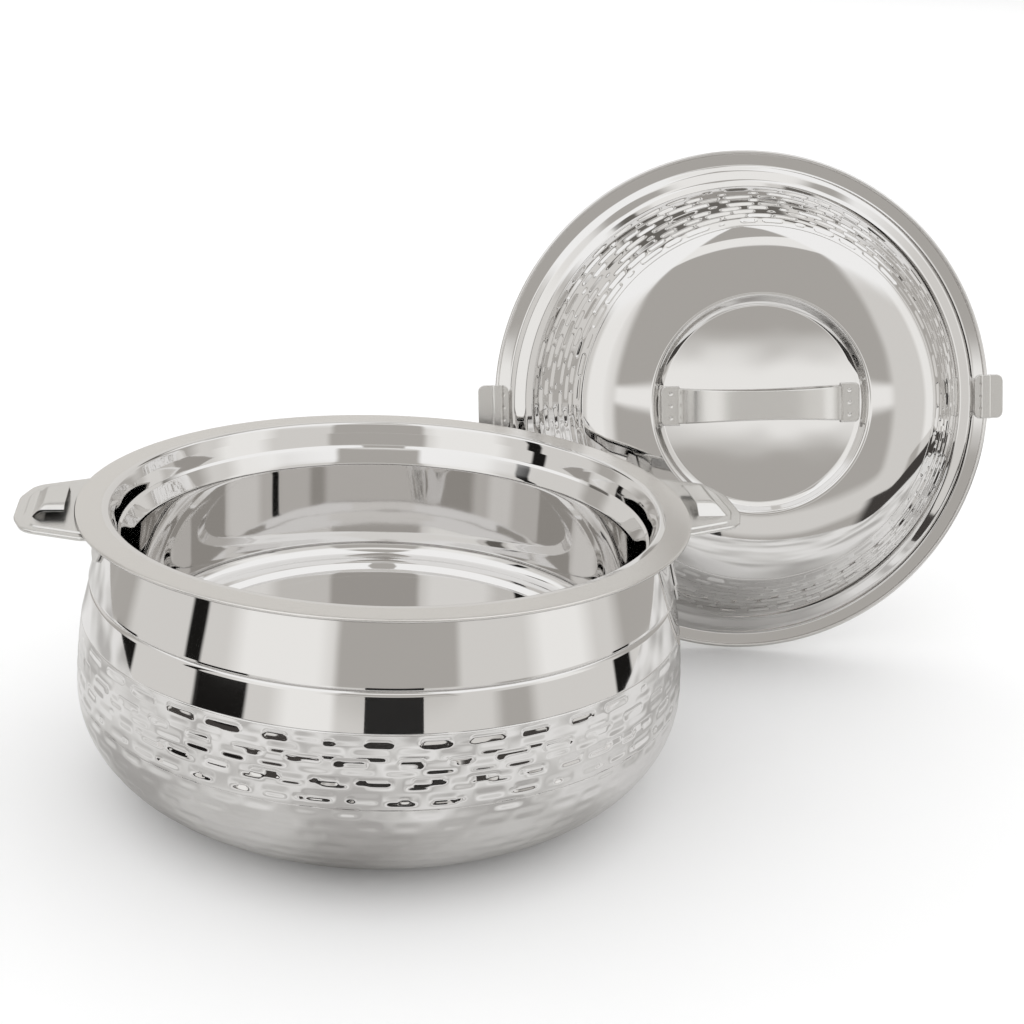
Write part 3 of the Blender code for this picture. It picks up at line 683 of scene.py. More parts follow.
def handleOutline(inset):
    # Seen from above: an arc that hugs the neck, straight sides, and a tip with rounded corners. An inset
    # outline has every side moved inwards, its corners where the moved sides cross, and smaller fillets.
    s = handleSizes
    corners = np.array(
        [
            (flangeRadius - s["rootInset"] * 2, -s["rootHalf"]),
            (flangeRadius - s["rootInset"], -s["rootHalf"]),
            (handleReach - s["shoulderInset"], -s["shoulderHalf"]),
            (handleReach, -s["noseHalf"]),
            (handleReach, s["noseHalf"]),
        ]
    )
    runs = np.diff(corners, axis=0)
    runs /= np.hypot(*runs.T)[:, None]
    moved = corners[:-1] + np.column_stack([-runs[:, 1], runs[:, 0]]) * inset
    crossing = runs[:-1, 0] * runs[1:, 1] - runs[:-1, 1] * runs[1:, 0]
    apart = moved[1:] - moved[:-1]
    ahead = (apart[:, 0] * runs[1:, 1] - apart[:, 1] * runs[1:, 0]) / crossing
    crossed = moved[:-1] + runs[:-1] * ahead[:, None]
    hug = flangeRadius - s["hugInset"] + inset
    low = -s["rootHalf"] + inset
    edge = math.asin(-low / hug)
    angles = np.linspace(-edge, edge, s["arcPoints"])
    arc = np.column_stack([hug * np.cos(angles), -hug * np.sin(angles)])
    fillets = [max(s[name] - inset, 0.0005) for name in ("rootFillet", "shoulderFillet", "noseFillet")]
    bends = [(*corner, fillet) for corner, fillet in zip(crossed, fillets)]
    side = [(*arc[-1], 0), *bends, (crossed[-1, 0], 0, 0)]
    side = evenly(roundedLine(side), s["sidePoints"] // 2)[1:]
    return np.vstack([arc, side, (side * (1, -1))[-2::-1]])


def makeHandlePlate(side, turn):
    # Rings drawn in from the outline: up inside the turned-down edge, round it, over the border, up the
    # pressed step and in to the middle. The arc at the neck has neither edge nor step.
    s = handleSizes
    top = bowlHeight - s["depth"]
    low = top - general["fittingSheet"]
    foot = top - s["edgeDrop"]
    sheet = general["fittingSheet"] * s["edgeShare"]
    fillet = general["edgeFillet"]
    section = roundedLine(
        [
            (s["border"] + s["stepRun"], low, 0),
            (sheet, low, s["edgeRoot"]),
            (sheet, foot, s["edgeFoot"]),
            (0, foot, s["edgeFoot"]),
            (0, top - s["stepRise"], s["edgeTop"]),
            (s["border"], top - s["stepRise"], fillet),
            (s["border"] + s["stepRun"], top, fillet),
            (s["border"] + s["stepRun"] + s["innerRun"], top, 0),
        ]
    )
    outline = handleOutline(0)
    middle = np.array([(handleReach + flangeRadius) / 2 - s["middleInset"], 0])
    fromArc = np.arange(len(outline)) - s["arcPoints"]
    nearest = np.minimum(fromArc, len(outline) - s["arcPoints"] - fromArc)
    share = np.clip(nearest / s["blendPoints"], 0, 1)
    rings = np.array([handleOutline(inset) for inset in section[:, 0]])
    plain = np.where(section[:, 1] < low, low, np.where(section[:, 1] > low + 0.0002, top, section[:, 1]))
    heights = plain[:, None] + (section[:, 1] - plain)[:, None] * share
    grid = np.dstack([rings, heights])
    first = np.array([[[*middle, low]]]).repeat(len(outline), 1)
    last = np.array([[[*middle, top]]]).repeat(len(outline), 1)
    grid = np.vstack([first, grid, last])
    grid[..., :2] *= turn
    piece = gridPiece(side + "_handle_sheet", grid)
    finishPiece(piece, "bowl", [side + "_handle_plate"], "satin_steel", plateSteel)


def makePocket(side, turn):
    # A sheet raised over the plate: its height is the lowest of three ramps, one from the outer foot and one
    # from each end, capped at the roof and rounded where they meet. The open end has no foot.
    s = pocketSizes
    inner = flangeRadius + s["flangeGap"]
    reach = inner + s["topLength"] + s["outerSlope"]
    foot = -s["topHalf"] - s["endSlope"]
    mouth = s["topHalf"] + s["endSlope"] * (1 - s["mouthRise"] / s["rise"])
    x = np.linspace(inner, reach, s["pointsX"])[:, None]
    y = np.linspace(foot, mouth, s["pointsY"])[None, :]
    rampX = (reach - x) / s["outerSlope"]
    rampY = (y - foot) / s["endSlope"]
    rampMouth = (s["topHalf"] + s["endSlope"] - y) / s["endSlope"]
    soft = s["fold"] / s["rise"]
    ramps = np.stack([rampX + 0 * y, rampY + 0 * x, rampMouth + 0 * x, 1 + 0 * x * y])
    height = -soft * np.log(np.exp(-ramps / soft).sum(0))
    height = np.clip(height, 0, None) * s["rise"]
    base = bowlHeight - handleSizes["depth"]
    z = np.clip(base + height, base, base + s["rise"])
    top = np.dstack([x + 0 * y, y + 0 * x, z])
    under = top.copy()
    under[..., 2] -= s["wall"]
    rim = np.vstack([top, under[::-1]])
    rim[..., :2] *= turn
    piece = gridPiece(side + "_lock_pocket", rim, closedRows=True, closedColumns=False)
    finishPiece(piece, "bowl", [side + "_handle_plate"], "satin_steel", plateSteel)


bracketSizes = {
    "rightLength": 0.0410,
    "leftLength": 0.0165,
    "halfWidth": 0.0285,
    "fillet": 0.020,
    "filletShare": 0.45,     # most of the length that the rounded end takes
    "crowding": 0.8,         # power that crowds the rows towards the end
    "rows": 60,
    "columns": 90,
}


def makeBracket(side, turn):
    # A tongue of sheet that follows the shell down: its two parameters are the way down the shell's line,
    # and the way across, whose width shrinks along a rounded end
    s = bracketSizes
    length = s[side + "Length"]
    line = np.vstack([neckLine(), bellyLine()[:-1]])
    top = bowlHeight - handleSizes["depth"] - general["fittingSheet"] - general["gap"]
    heights = top - length * np.linspace(0, 1, s["rows"]) ** s["crowding"]
    radius = np.interp(-heights, -line[:, 1], line[:, 0]) + general["gap"]
    fillet = min(s["fillet"], length * s["filletShare"])
    toEnd = np.clip(fillet - (heights - heights[-1]), 0, fillet)
    half = s["halfWidth"] - fillet + np.sqrt(fillet**2 - toEnd**2)
    y = half[:, None] * np.linspace(-1, 1, s["columns"])

    def layer(out):
        # The tongue's points, that far out from its inner face: x from the circle, by Pythagoras
        reach = radius[:, None] + out
        return np.dstack([np.sqrt(reach**2 - y**2), y, heights[:, None] + 0 * y])

    edge = general["fittingSheet"] / 2
    outer, inner = layer(general["fittingSheet"]), layer(0)
    rim = layer(edge)[:, ::s["columns"] - 1]
    grid = np.hstack([outer, rim[:, 1:], inner[:, ::-1], rim[:, :1]])
    first, last = (grid[k].mean(0)[None, None].repeat(grid.shape[1], 1) for k in (0, -1))
    grid = np.vstack([first, grid, last])
    grid[..., :2] *= turn
    piece = gridPiece(side + "_bracket_tongue", grid)
    finishPiece(piece, "bowl", [side + "_handle_bracket"], "satin_steel", plateSteel)


def makeHandles():
    # The right handle, and the left one as the right one turned half round
    for side, turn in (("right", 1), ("left", -1)):
        makeHandlePlate(side, turn)
        makePocket(side, turn)
        makeBracket(side, turn)


makeShell()
makeVessel()
makeBasePlate()
makeHandles()
print("bowl made")


# Lid

lidSizes.update({
    "flangeTop": 0.0019,
    "edgeGap": 0.0004,
    "rimWidth": 0.0080,
    "stepRun": 0.003,
    "stepRise": 0.0025,
    "stepFillet": 0.0010,
    "footInset": 0.0165,
    "footRise": 0.0056,
    "footFillet": 0.003,
    "wallInset": 0.0200,
    "wallRise": 0.0095,
    "slopeReach": (0.0558, 0.0690, 0.0820, 0.0900, 0.0955, 0.0985),
    "slopes": (3.4, 7.0, 12.5, 28, 50, 62),   # degrees, of the crown at each reach from the axis
    "slopeStep": 0.0006,
    "hammeredReach": 0.0915,  # where the hammered wall starts, from the axis
    "wallFillet": 0.0012,
    "wallMargin": 0.0005,     # of the marks from the wall's foot
    "crownStep": 0.0012,
    "wallRows": 88,
    "wallSteps": 960,
    "rimRows": 40,
    "recessRadius": 0.0558,
    "recessRise": 0.0583,
    "recessDepth": 0.0048,
    "recessBevel": 0.0034,
    "recessFillet": 0.0007,
    "steps": 800,
})
lidMarks = {
    "seed": 23,
    "rows": 9,
    "cells": 44,
    "shifts": (0.2, 0.7),
    "start": 0.0042,          # first row's middle, along the wall above the rim's foot
    "pitch": 0.0050,
    "wanderX": 0.0012,
    "wanderY": 0.0004,
    "halfLength": 0.0062,
    "halfHeight": 0.0018,
    "unevenness": 0.3,
    "smallShare": (0.1, 0.25, 0.05, 0.1),
    "lip": 0.35,
    "facing": -1,
    "tilts": (12.0, 16.0, 14.0, 18.0),
    "tiltSpread": 0.35,
}
lidRadius = flangeRadius + lidSizes["overhang"]


def makeLidShell():
    # From the sunk centre over the crown, down the hammered wall and out over the steps of the rim. The
    # crown's height falls from ring to ring by the tangent of its slope there.
    s = lidSizes
    sunk = s["recessRise"] - s["recessDepth"]
    reach = np.arange(s["recessRadius"], s["slopeReach"][-1], s["slopeStep"])
    slopes = np.radians(np.interp(reach, s["slopeReach"], s["slopes"]))
    falls = np.append(0, np.cumsum(np.tan(slopes[1:]) * np.diff(reach)))
    crown = np.column_stack([reach, s["recessRise"] - falls])
    inside = roundedLine(
        [
            (0, sunk, 0),
            (s["recessRadius"] - s["recessBevel"], sunk, s["recessFillet"]),
            (*crown[0], s["recessFillet"]),
            (*crown[3], 0),
        ]
    )
    outside = roundedLine(
        [
            (*crown[-1], 0),
            (lidRadius - s["wallInset"], s["wallRise"], s["wallFillet"]),
            (lidRadius - s["footInset"], s["footRise"], s["footFillet"]),
            (lidRadius - s["rimWidth"] - s["stepRun"], s["flangeTop"] + s["stepRise"], s["stepFillet"]),
            (lidRadius - s["rimWidth"], s["flangeTop"], s["stepFillet"]),
            (lidRadius - general["sheet"] - s["edgeGap"], s["flangeTop"], 0),
        ]
    )
    line = np.vstack([inside, crown[4:-1], outside])
    lengths = lineLengths(line)
    hammered = np.interp(s["hammeredReach"], line[:, 0], lengths)
    foot = np.interp(lidRadius - s["wallInset"], line[:, 0], lengths)
    wallEnd = foot - s["wallMargin"]
    parts = {   # the rows' places along the line, the steps round, and the rows to one of the inner face
        "crown": (np.append(np.arange(0, hammered, s["crownStep"]), hammered), s["steps"], 5),
        "wall": (np.linspace(hammered, wallEnd, s["wallRows"]), s["wallSteps"], 12),
        "rim": (np.linspace(wallEnd, lengths[-1], s["rimRows"]), s["steps"], 6),
    }
    for name, (stations, steps, stride) in parts.items():
        part = np.column_stack([np.interp(stations, lengths, line[:, axis]) for axis in (0, 1)])
        depth = np.zeros((len(stations), steps))
        if name == "wall":
            depth = struck(lidMarks, foot - stations, part[:, 0], steps)
            depth[[0, -1]] = 0
        grid = turnedSheet(part, leftNormals(part), depth, steps, stride)
        if name == "crown":
            grid[-1] = (0, 0, sunk - general["sheet"])
        piece = gridPiece("lid_" + name, lidPlaced(grid), closedRows=name != "crown")
        finishPiece(piece, "lid", ["lid_shell"], "mirror_steel", mirrorSteel)


foamSizes = {
    "bowlInset": 0.0028,      # inside the shell's line
    "bowl": ((0, 0.0555), (0.1138, 0.0555), (0.1138, 0.105), (0.1235, 0.105)),  # from the axis to the neck
    "stride": 6,              # of the shell's points to one of the foam's
    "lidTop": 0.0025,         # under the sunk centre
    "lidTopReach": 0.0500,
    "lid": (   # from the axis out over the liner, and back up to the crown
        (0, 0.0455), (0.083, 0.0455), (0.0935, 0.0415), (0.1055, 0.0105), (0.1105, 0.0105),
        (0.0952, 0.0415), (0.0900, 0.0468), (0.0810, 0.0508), (0.0570, 0.0530),
    ),
    "steps": 160,
}


def makeFoams():
    # Two turned solids that stay clear of the walls on both sides, in the object's frame and in the lid's
    s = foamSizes
    shell = bellyLine()[1:]
    shell = (shell - leftNormals(shell) * s["bowlInset"])[::s["stride"]]
    line = np.vstack([s["bowl"], shell, [(0, shell[-1, 1])]])
    piece = gridPiece("bowl_foam", turnedGrid(line, s["steps"]))
    finishPiece(piece, "bowl", ["bowl_insulation"], "foam", foam)
    top = lidSizes["recessRise"] - lidSizes["recessDepth"] - general["sheet"] - s["lidTop"]
    line = np.vstack([s["lid"], [(s["lidTopReach"], top), (0, top)]])
    piece = gridPiece("lid_foam", lidPlaced(turnedGrid(line, s["steps"])))
    finishPiece(piece, "lid", ["lid_insulation"], "foam", foam)


linerSizes = {
    "hemWidth": 0.0020,
    "hemTop": 0.0030,
    "hemFillet": 0.0013,
    "plugClearance": 0.0030,  # from the foot of the bowl's ledge
    "plugDepth": 0.0089,
    "plugTaper": 0.0008,
    "plugLand": 0.0040,
    "plugFillet": 0.0015,
    "plugRootFillet": 0.0006,
    "edgeInset": 0.0232,
    "roofRise": 0.0430,
    "roofFillet": 0.016,
    "rowStep": 0.0026,
    "outerStep": 0.004,
    "steps": 320,
}


def makeLidLiner():
    # The hem over the rim, the flat under it, the plug, and the wall up to the roof inside the lid
    s = linerSizes
    plug = flangeRadius - vesselSizes["flangeWidth"] - vesselSizes["ledgeFootInset"] - s["plugClearance"]
    foot = plug - s["plugTaper"]
    line = roundedLine(
        [
            (lidRadius - s["hemWidth"], s["hemTop"], 0),
            (lidRadius, s["hemTop"], s["hemFillet"]),
            (lidRadius, 0, s["hemFillet"]),
            (plug, 0, s["plugRootFillet"]),
            (foot, -s["plugDepth"], s["plugFillet"]),
            (foot - s["plugLand"], -s["plugDepth"], s["plugFillet"]),
            (plug - s["edgeInset"], s["roofRise"], s["roofFillet"]),
            (0, s["roofRise"], 0),
        ]
    )
    line = refined(line, s["rowStep"])
    loop = np.vstack([line[::-1], refined(line - leftNormals(line) * general["sheet"], s["outerStep"])])
    loop[-1, 0] = 0
    piece = gridPiece("lid_inner_wall", lidPlaced(turnedGrid(loop, s["steps"])))
    finishPiece(piece, "lid", ["lid_liner"], "mirror_steel", mirrorSteel)


gasketSizes = {
    "clearance": 0.0006,
    "height": 0.0047,
    "fillet": 0.0012,
    "step": 0.0008,
    "steps": 300,
}


def makeGasket():
    # A ring of almost rectangular section between the plug and the mouth, just under the lid's flat
    s = gasketSizes
    mouth = flangeRadius - vesselSizes["flangeWidth"]
    outer = mouth - vesselSizes["ledgeTopInset"] - s["clearance"]
    inner = mouth - vesselSizes["ledgeFootInset"] - linerSizes["plugClearance"] + general["gap"]
    high, low = -general["gap"], -general["gap"] - s["height"]
    line = roundedLine(
        [
            (inner, (high + low) / 2, 0),
            (inner, high, general["edgeFillet"]),
            (outer, high, s["fillet"]),
            (outer, low, s["fillet"]),
            (inner, low, general["edgeFillet"]),
            (inner, (high + low) / 2, 0),
        ]
    )[:-1]
    grid = turnedGrid(refined(line, s["step"]), s["steps"])
    piece = gridPiece("lid_seal_ring", lidPlaced(grid), closedRows=True)
    finishPiece(piece, "lid_seal", ["lid_gasket"], "silicone", silicone)


bandPoints = {   # of a band's section
    "upper": 64,
    "under": 16,
    "edge": 5,
}


def bentBand(path, halfWidths, sheet, pits, pit):
    # A sheet carried along an (x, z) path: each section is a flat band with round edges, whose upper
    # side is pressed down at the weld pits by a cosine bump
    upper, under = bandPoints["upper"], bandPoints["under"]
    runs = leftNormals(path)
    edge = np.linspace(-np.pi / 2, np.pi / 2, bandPoints["edge"] + 2)[1:-1]
    half = sheet / 2
    grids = [
        np.stack([np.linspace(-1, 1, upper), np.ones(upper)]),
        np.stack([1 + 0 * edge, -np.sin(edge)]),
        np.stack([np.linspace(1, -1, under), -np.ones(under)]),
        np.stack([-1 + 0 * edge, np.sin(edge)]),
    ]
    section = np.hstack(grids)
    bulge = np.concatenate([np.zeros(upper), np.cos(edge), np.zeros(under), -np.cos(edge)])
    y = section[0] * (halfWidths[:, None] - half) + bulge * half
    lift = (section[1] * half + half) * np.ones((len(path), 1))
    x = path[:, :1] + runs[:, :1] * lift
    z = path[:, 1:] + runs[:, 1:] * lift
    for pitX, pitY in pits:
        away = np.minimum(np.hypot(path[:, :1] - pitX, y - pitY) / pit["radius"], 1)
        press = pit["depth"] * (0.5 + 0.5 * np.cos(np.pi * away)) * (bulge == 0) * (section[1] > 0)
        x = x - runs[:, :1] * press
        z = z - runs[:, 1:] * press
    grid = np.stack([x, y, z], -1)
    ends = [grid[k].mean(0)[None, None].repeat(grid.shape[1], 1) for k in (0, -1)]
    return np.vstack([ends[0], grid, ends[1]])


strapSizes = {
    "margin": 0.0012,         # of the feet from the recess's floor edge
    "footLength": 0.0097,
    "footHalf": 0.0102,
    "footFillet": 0.0026,
    "endHalf": 0.0090,
    "waistHalf": 0.0074,
    "arch": 0.0235,
    "squarenessShare": 0.78,
    "pitSpacing": 0.0063,
    "archPoints": 160,
    "footPoints": 33,
}
weldPit = {"radius": 0.0013, "depth": 0.0005}


def makeStrap():
    # Flat feet and between them an arch, a half turn whose cosine and sine are raised to one share
    s = strapSizes
    outer = lidSizes["recessRadius"] - lidSizes["recessBevel"] - s["margin"]
    inner = outer - s["footLength"]
    seat = lidSizes["recessRise"] - lidSizes["recessDepth"] + general["gap"]
    angle = np.linspace(0, np.pi, s["archPoints"])
    along = -np.sign(np.cos(angle)) * np.abs(np.cos(angle)) ** s["squarenessShare"]
    arch = np.column_stack([inner * along, seat + s["arch"] * np.sin(angle) ** s["squarenessShare"]])
    footX = np.linspace(outer, inner, s["footPoints"] + 1)[:-1]
    foot = np.column_stack([footX, seat + 0 * footX])
    path = np.vstack([foot * (-1, 1), arch, foot[::-1]])
    reach = np.abs(path[:, 0])
    waist = s["waistHalf"] + (s["endHalf"] - s["waistHalf"]) * (reach / inner) ** 2
    corner = np.clip(s["footFillet"] - (outer - reach), 0, None)
    footHalf = s["footHalf"] - s["footFillet"] + np.sqrt(np.clip(s["footFillet"]**2 - corner**2, 0, None))
    halfWidths = np.where(reach > inner, footHalf, waist)
    pits = [(side * (outer + inner) / 2, row * s["pitSpacing"]) for side in (-1, 1) for row in (-1, 0, 1)]
    grid = bentBand(path, halfWidths, general["fittingSheet"], pits, weldPit)
    piece = gridPiece("strap_handle", lidPlaced(grid))
    finishPiece(piece, "lid", ["lid_handle_strap"], "satin_steel", strapSteel)


clipSizes = {
    "stepGap": 0.0004,
    "legGap": 0.0004,
    "clearance": 0.0017,
    "halfWidth": 0.0120,
    "fillet": 0.0034,
    "hopRun": 0.0008,
    "tabDrop": 0.0010,
    "bend": 0.0009,
    "legBend": 0.0004,
    "step": 0.00035,
    "pitInset": 0.0032,
    "pitSpacing": 0.0066,
}


def makeClips():
    # One strip: welded on the flange, bent over the hem, down past the rim and out as the lock's tab
    s = clipSizes
    sheet = general["fittingSheet"]
    inner = lidRadius - lidSizes["rimWidth"] + s["stepGap"]
    low = lidSizes["flangeTop"] + general["gap"]
    high = linerSizes["hemTop"] + general["gap"]
    hem = lidRadius - linerSizes["hemWidth"] - general["gap"]
    leg = lidRadius + s["legGap"]
    pocketEnd = flangeRadius + pocketSizes["flangeGap"] + pocketSizes["topLength"]
    reach = pocketEnd - pocketSizes["wall"] - s["clearance"]
    path = roundedLine(
        [
            (inner, low, 0),
            (hem - sheet - s["hopRun"], low, s["bend"]),
            (hem - sheet, high, s["bend"]),
            (leg, high, s["legBend"]),
            (leg, -s["tabDrop"], s["legBend"]),
            (reach, -s["tabDrop"], 0),
        ]
    )
    path = refined(path, s["step"])
    toEnd = np.minimum(path[:, 0] - inner, reach - path[:, 0])
    corner = np.clip(s["fillet"] - toEnd, 0, None)
    halfWidths = s["halfWidth"] - s["fillet"] + np.sqrt(np.clip(s["fillet"]**2 - corner**2, 0, None))
    pits = [(inner + s["pitInset"], row * s["pitSpacing"]) for row in (-1, 0, 1)]
    grid = bentBand(path, halfWidths, sheet, pits, weldPit)
    for side, turn in (("right", 1), ("left", -1)):
        turned = grid * (turn, turn, 1)
        piece = gridPiece(side + "_clip", lidPlaced(turned))
        finishPiece(piece, "lid", [side + "_lock_clip"], "satin_steel", strapSteel)


makeLidShell()
makeLidLiner()
makeGasket()
makeStrap()
makeClips()
print("lid made")

makeFoams()
print("foams made")


# Studio

studio = {
    "floorRadius": 14.0,
    "floorWhite": "#F8F8F8",
    "nearFloorRadius": 0.65,
    "nearFloorGrey": "#D2D1CF",
    "cameraPlace": (-0.06705, -0.70018, 0.37224),
    "cameraYaw": -10.0,
    "cameraTilt": 70.62,
    "cameraRoll": 3.09,
    "lens": 58.7,
    "sensor": 36.0,
    "backdrop": "#FEFEFE",
    "softLight": 1.17,
    "steelLight": 1.20,
    "lowestLine": 27.63,   # degrees, of the camera's height over the bowl's front
    "faceTurn": 5.45,      # degrees, of the camera's side from the front
    "faceShare": 0.4535,   # turn of the wall for one degree of the mirrored ray's
    "leastCosine": 0.12,
    "ringTilt": (8.8, 9.3),          # degrees of tilt between which each band fades in over the one below
    "lowTilt": (12.7, 12.95),
    "highTilt": (14.9, 15.2),
    "ceilingRise": (30, 42),         # degrees of height
    "openingTurn": (20, 24),         # degrees of turn, to the walls
    "rearTurn": (122, 132),
    "floorBand": "#DADAD9",
    "ceiling": "#F2F2F2",
    "floorDrop": 0.0005,
    "floorDepth": 0.02,
    "floorSteps": 128,
    "cards": {   # from left to right, from low to high, and the colour
        "block": ((-0.115, 0.080), (0.073, 0.126), "#1C1B1A"),
        "strip": ((-0.25, 0.16), (0.0, 0.066), "#2A2826"),
    },
    "cardPlace": -0.60,
}
# The lit studio that the steel mirrors, in five greys
studioGreys = {
    "flag": "#181716",
    "dim": "#66635F",
    "gap": "#A8A5A1",
    "wall": "#D0CECB",
    "softbox": "#EAE9E7",
}
ringGrey = "#403D3B"   # a dark strip all round, which the hammer marks mirror
# Each wall is one grey, with panels that run from one angle to another, and the width of their soft edges.
# The high and low walls go by the turn from the camera's side, right positive, and the others by height.
highWall = {
    "range": (-180, 180),
    "base": "wall",
    "panels": (
        (-130, -112, 6, "gap"), (-81, -74, 1, "flag"), (-60, -25, 8, "softbox"), (52, 76, 8, "softbox"),
        (92, 140, 8, "gap"),
    ),
}
lowWall = {
    "range": (-180, 180),
    "base": "wall",
    "panels": (
        (-120, -106, 1, "flag"), (-75, -54, 1, "flag"), (-42, -20, 7, "softbox"), (36, 50, 5, "gap"),
        (88, 98, 1, "flag"), (105, 150, 3, "softbox"),
    ),
}
cameraWall = {
    "range": (-20, 60),
    "base": "gap",
    "panels": ((-5, 2, 2, "wall"), (12, 15, 1, "softbox"), (43, 58, 1, "softbox")),
}
rearWall = {
    "range": (-20, 90),
    "base": "wall",
    "panels": (
        (-15, 5, 4, "gap"), (32, 39, 1, "dim"), (42, 49, 1, "softbox"), (51, 57, 1, "dim"),
        (60, 85, 1, "softbox"),
    ),
}


def onlyMirrored(piece):
    # Seen by glossy rays alone
    piece.visible_camera = piece.visible_diffuse = piece.visible_shadow = piece.visible_transmission = False


def makeFloors():
    # A wide white floor that the steel doesn't mirror, and just over it a smaller grey one, with soft clouds,
    # that only the steel mirrors
    s = studio
    top, bottom = -s["floorDrop"], -s["floorDepth"]
    line = np.array([(0, top), (s["floorRadius"], top), (s["floorRadius"], bottom), (0, bottom)])
    floor = gridPiece("studio_floor", turnedGrid(line, s["floorSteps"]))
    floor.data.materials.append(newMaterial("studio_white", s["floorWhite"], 0.0, 0.9)[0])
    floor.visible_glossy = False
    line = np.array([(0, top / 2), (s["nearFloorRadius"], top / 2)])
    near = gridPiece("studio_near_floor", turnedGrid(line, s["floorSteps"]))
    material, tree, shader = newMaterial("studio_grey", s["nearFloorGrey"], 0.0, 0.9)
    place = addNode(tree, "ShaderNodeTexCoord")
    clouds = addNode(
        tree, "ShaderNodeTexNoise", {"Scale": 9, "Detail": 1}, {"Vector": place.outputs["Object"]}
    )
    greys = addNode(
        tree, "ShaderNodeValToRGB", {"stops": [(0.36, "#B4B2B0"), (0.5, "#D4D3D1"), (0.62, "#E4E3E2")]},
        {"Fac": clouds.outputs["Fac"]},
    )
    tree.links.new(greys.outputs["Color"], shader.inputs["Base Color"])
    near.data.materials.append(material)
    onlyMirrored(near)


def makeCards():
    # Dark cards in front of the bowl that only the steel mirrors: each is one quad, across and upright
    y = studio["cardPlace"]
    for name, ((left, right), (low, high), colour) in studio["cards"].items():
        grid = np.array([[(left, y, low), (right, y, low)], [(left, y, high), (right, y, high)]])
        card = gridPiece("studio_dark_" + name, grid, closedColumns=False)
        card.data.materials.append(newMaterial("studio_dark_" + name, colour, 0.0, 0.9)[0])
        onlyMirrored(card)


def makeCamera():
    # At the photograph's place: rolled about its own axis, tilted up from straight down, then turned about Z
    s = studio
    data = bpy.data.cameras.new("camera")
    data.lens = s["lens"]
    data.sensor_width = s["sensor"]
    camera = bpy.data.objects.new("camera", data)
    bpy.context.scene.collection.objects.link(camera)
    yaw = Matrix.Rotation(math.radians(s["cameraYaw"]), 4, "Z")
    tilt = Matrix.Rotation(math.radians(s["cameraTilt"]), 4, "X")
    turn = Matrix.Rotation(math.radians(s["cameraRoll"]), 4, "Z")
    camera.matrix_world = Matrix.Translation(s["cameraPlace"]) @ yaw @ tilt @ turn
    bpy.context.scene.camera = camera


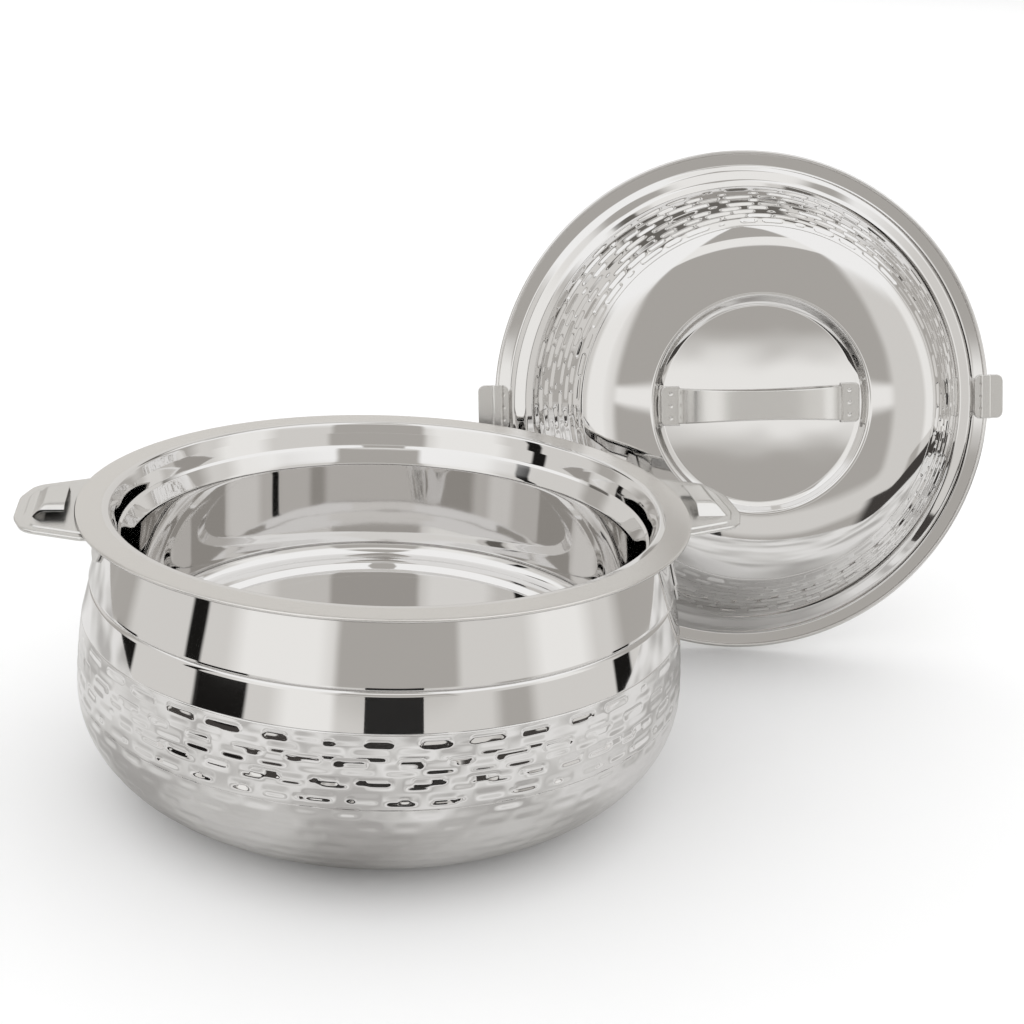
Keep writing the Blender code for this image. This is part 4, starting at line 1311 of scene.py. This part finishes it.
def makeWorld():
    # White to the camera, even soft light on matt things, and a lit studio in the steel: floor, ring, low wall
    # and high wall laid over each other by tilt, with walls of their own at the camera and behind the bowl
    s = studio
    world = bpy.data.worlds.new("studio")
    bpy.context.scene.world = world
    world.use_nodes = True
    tree = world.node_tree
    tree.nodes.clear()

    def wall(plan, value):
        # A ramp of its base grey, where each panel's grey comes in and goes out over its soft edge
        low, high = plan["range"]
        base = studioGreys[plan["base"]]
        stops = [(low, base)]
        for start, end, edge, grey in plan["panels"]:
            code = studioGreys[grey]
            stops += [(start - edge / 2, base), (start + edge / 2, code)]
            stops += [(end - edge / 2, code), (end + edge / 2, base)]
        stops = [((place - low) / (high - low), code) for place, code in (*stops, (high, base))]
        share = addNode(tree, "ShaderNodeMapRange", {"From Min": low, "From Max": high}, {"Value": value})
        ramp = addNode(tree, "ShaderNodeValToRGB", {"stops": stops}, {"Fac": share.outputs["Result"]})
        return ramp.outputs["Color"]

    def over(under, upper, low, high, value):
        # The upper colour fades in as the value goes from low to high
        fade = {"interpolation_type": "SMOOTHSTEP", "From Min": low, "From Max": high}
        share = addNode(tree, "ShaderNodeMapRange", fade, {"Value": value})
        mixed = addNode(
            tree, "ShaderNodeMix", {"data_type": "RGBA"}, {0: share.outputs["Result"], 6: under, 7: upper}
        )
        return mixed.outputs[2]

    place = addNode(tree, "ShaderNodeTexCoord")
    split = addNode(tree, "ShaderNodeSeparateXYZ", {}, {"Vector": place.outputs["Generated"]})
    forward = addNode(tree, "ShaderNodeMath", {"operation": "MULTIPLY", 1: -1.0}, {0: split.outputs["Y"]})
    around = addNode(
        tree, "ShaderNodeMath", {"operation": "ARCTAN2"}, {0: split.outputs["X"], 1: forward.outputs[0]}
    )
    turn = addNode(tree, "ShaderNodeMath", {"operation": "DEGREES"}, {0: around.outputs[0]})
    raised = addNode(tree, "ShaderNodeMath", {"operation": "ARCSINE"}, {0: split.outputs["Z"]})
    rise = addNode(tree, "ShaderNodeMath", {"operation": "DEGREES"}, {0: raised.outputs[0]})
    # The tilt of the bowl's wall that mirrors a direction: its height over the lowest line, halved, and
    # divided by the cosine of its turn, because a wall that faces aside tips the mirrored ray less
    lifted = addNode(
        tree, "ShaderNodeMath", {"operation": "MULTIPLY_ADD", 1: 0.5, 2: s["lowestLine"] / 2},
        {0: rise.outputs[0]},
    )
    perDegree = math.radians(s["faceShare"])
    faced = addNode(
        tree, "ShaderNodeMath", {"operation": "MULTIPLY_ADD", 1: perDegree, 2: perDegree * s["faceTurn"]},
        {0: turn.outputs[0]},
    )
    cosine = addNode(tree, "ShaderNodeMath", {"operation": "COSINE"}, {0: faced.outputs[0]})
    narrowed = addNode(
        tree, "ShaderNodeMath", {"operation": "MAXIMUM", 1: s["leastCosine"]}, {0: cosine.outputs[0]}
    )
    tilt = addNode(
        tree, "ShaderNodeMath", {"operation": "DIVIDE"}, {0: lifted.outputs[0], 1: narrowed.outputs[0]}
    )
    side = addNode(tree, "ShaderNodeMath", {"operation": "ABSOLUTE"}, {0: turn.outputs[0]})
    floorBand, ceiling, ring = (addNode(tree, "ShaderNodeRGB") for _ in range(3))
    floorBand.outputs[0].default_value = linear(s["floorBand"])
    ceiling.outputs[0].default_value = linear(s["ceiling"])
    ring.outputs[0].default_value = linear(ringGrey)
    walls = over(floorBand.outputs[0], ring.outputs[0], *s["ringTilt"], tilt.outputs[0])
    walls = over(walls, wall(lowWall, turn.outputs[0]), *s["lowTilt"], tilt.outputs[0])
    walls = over(walls, wall(highWall, turn.outputs[0]), *s["highTilt"], tilt.outputs[0])
    walls = over(walls, ceiling.outputs[0], *s["ceilingRise"], rise.outputs[0])
    walls = over(wall(cameraWall, rise.outputs[0]), walls, *s["openingTurn"], side.outputs[0])
    walls = over(walls, wall(rearWall, rise.outputs[0]), *s["rearTurn"], side.outputs[0])
    path = addNode(tree, "ShaderNodeLightPath")
    steelLight = addNode(tree, "ShaderNodeBackground", {"Strength": s["steelLight"]}, {"Color": walls})
    softLight = addNode(tree, "ShaderNodeBackground", {"Color": (1, 1, 1, 1), "Strength": s["softLight"]})
    backdrop = addNode(tree, "ShaderNodeBackground", {"Color": linear(s["backdrop"]), "Strength": 1.0})
    seen = addNode(
        tree, "ShaderNodeMixShader", {},
        {0: path.outputs["Is Camera Ray"], 1: softLight.outputs[0], 2: backdrop.outputs[0]},
    )
    mirrored = addNode(
        tree, "ShaderNodeMixShader", {},
        {0: path.outputs["Is Glossy Ray"], 1: seen.outputs[0], 2: steelLight.outputs[0]},
    )
    addNode(tree, "ShaderNodeOutputWorld", {}, {"Surface": mirrored.outputs[0]})


makeFloors()
makeCards()
makeCamera()
makeWorld()
bpy.context.scene.view_settings.view_transform = "Standard"
print("studio made")
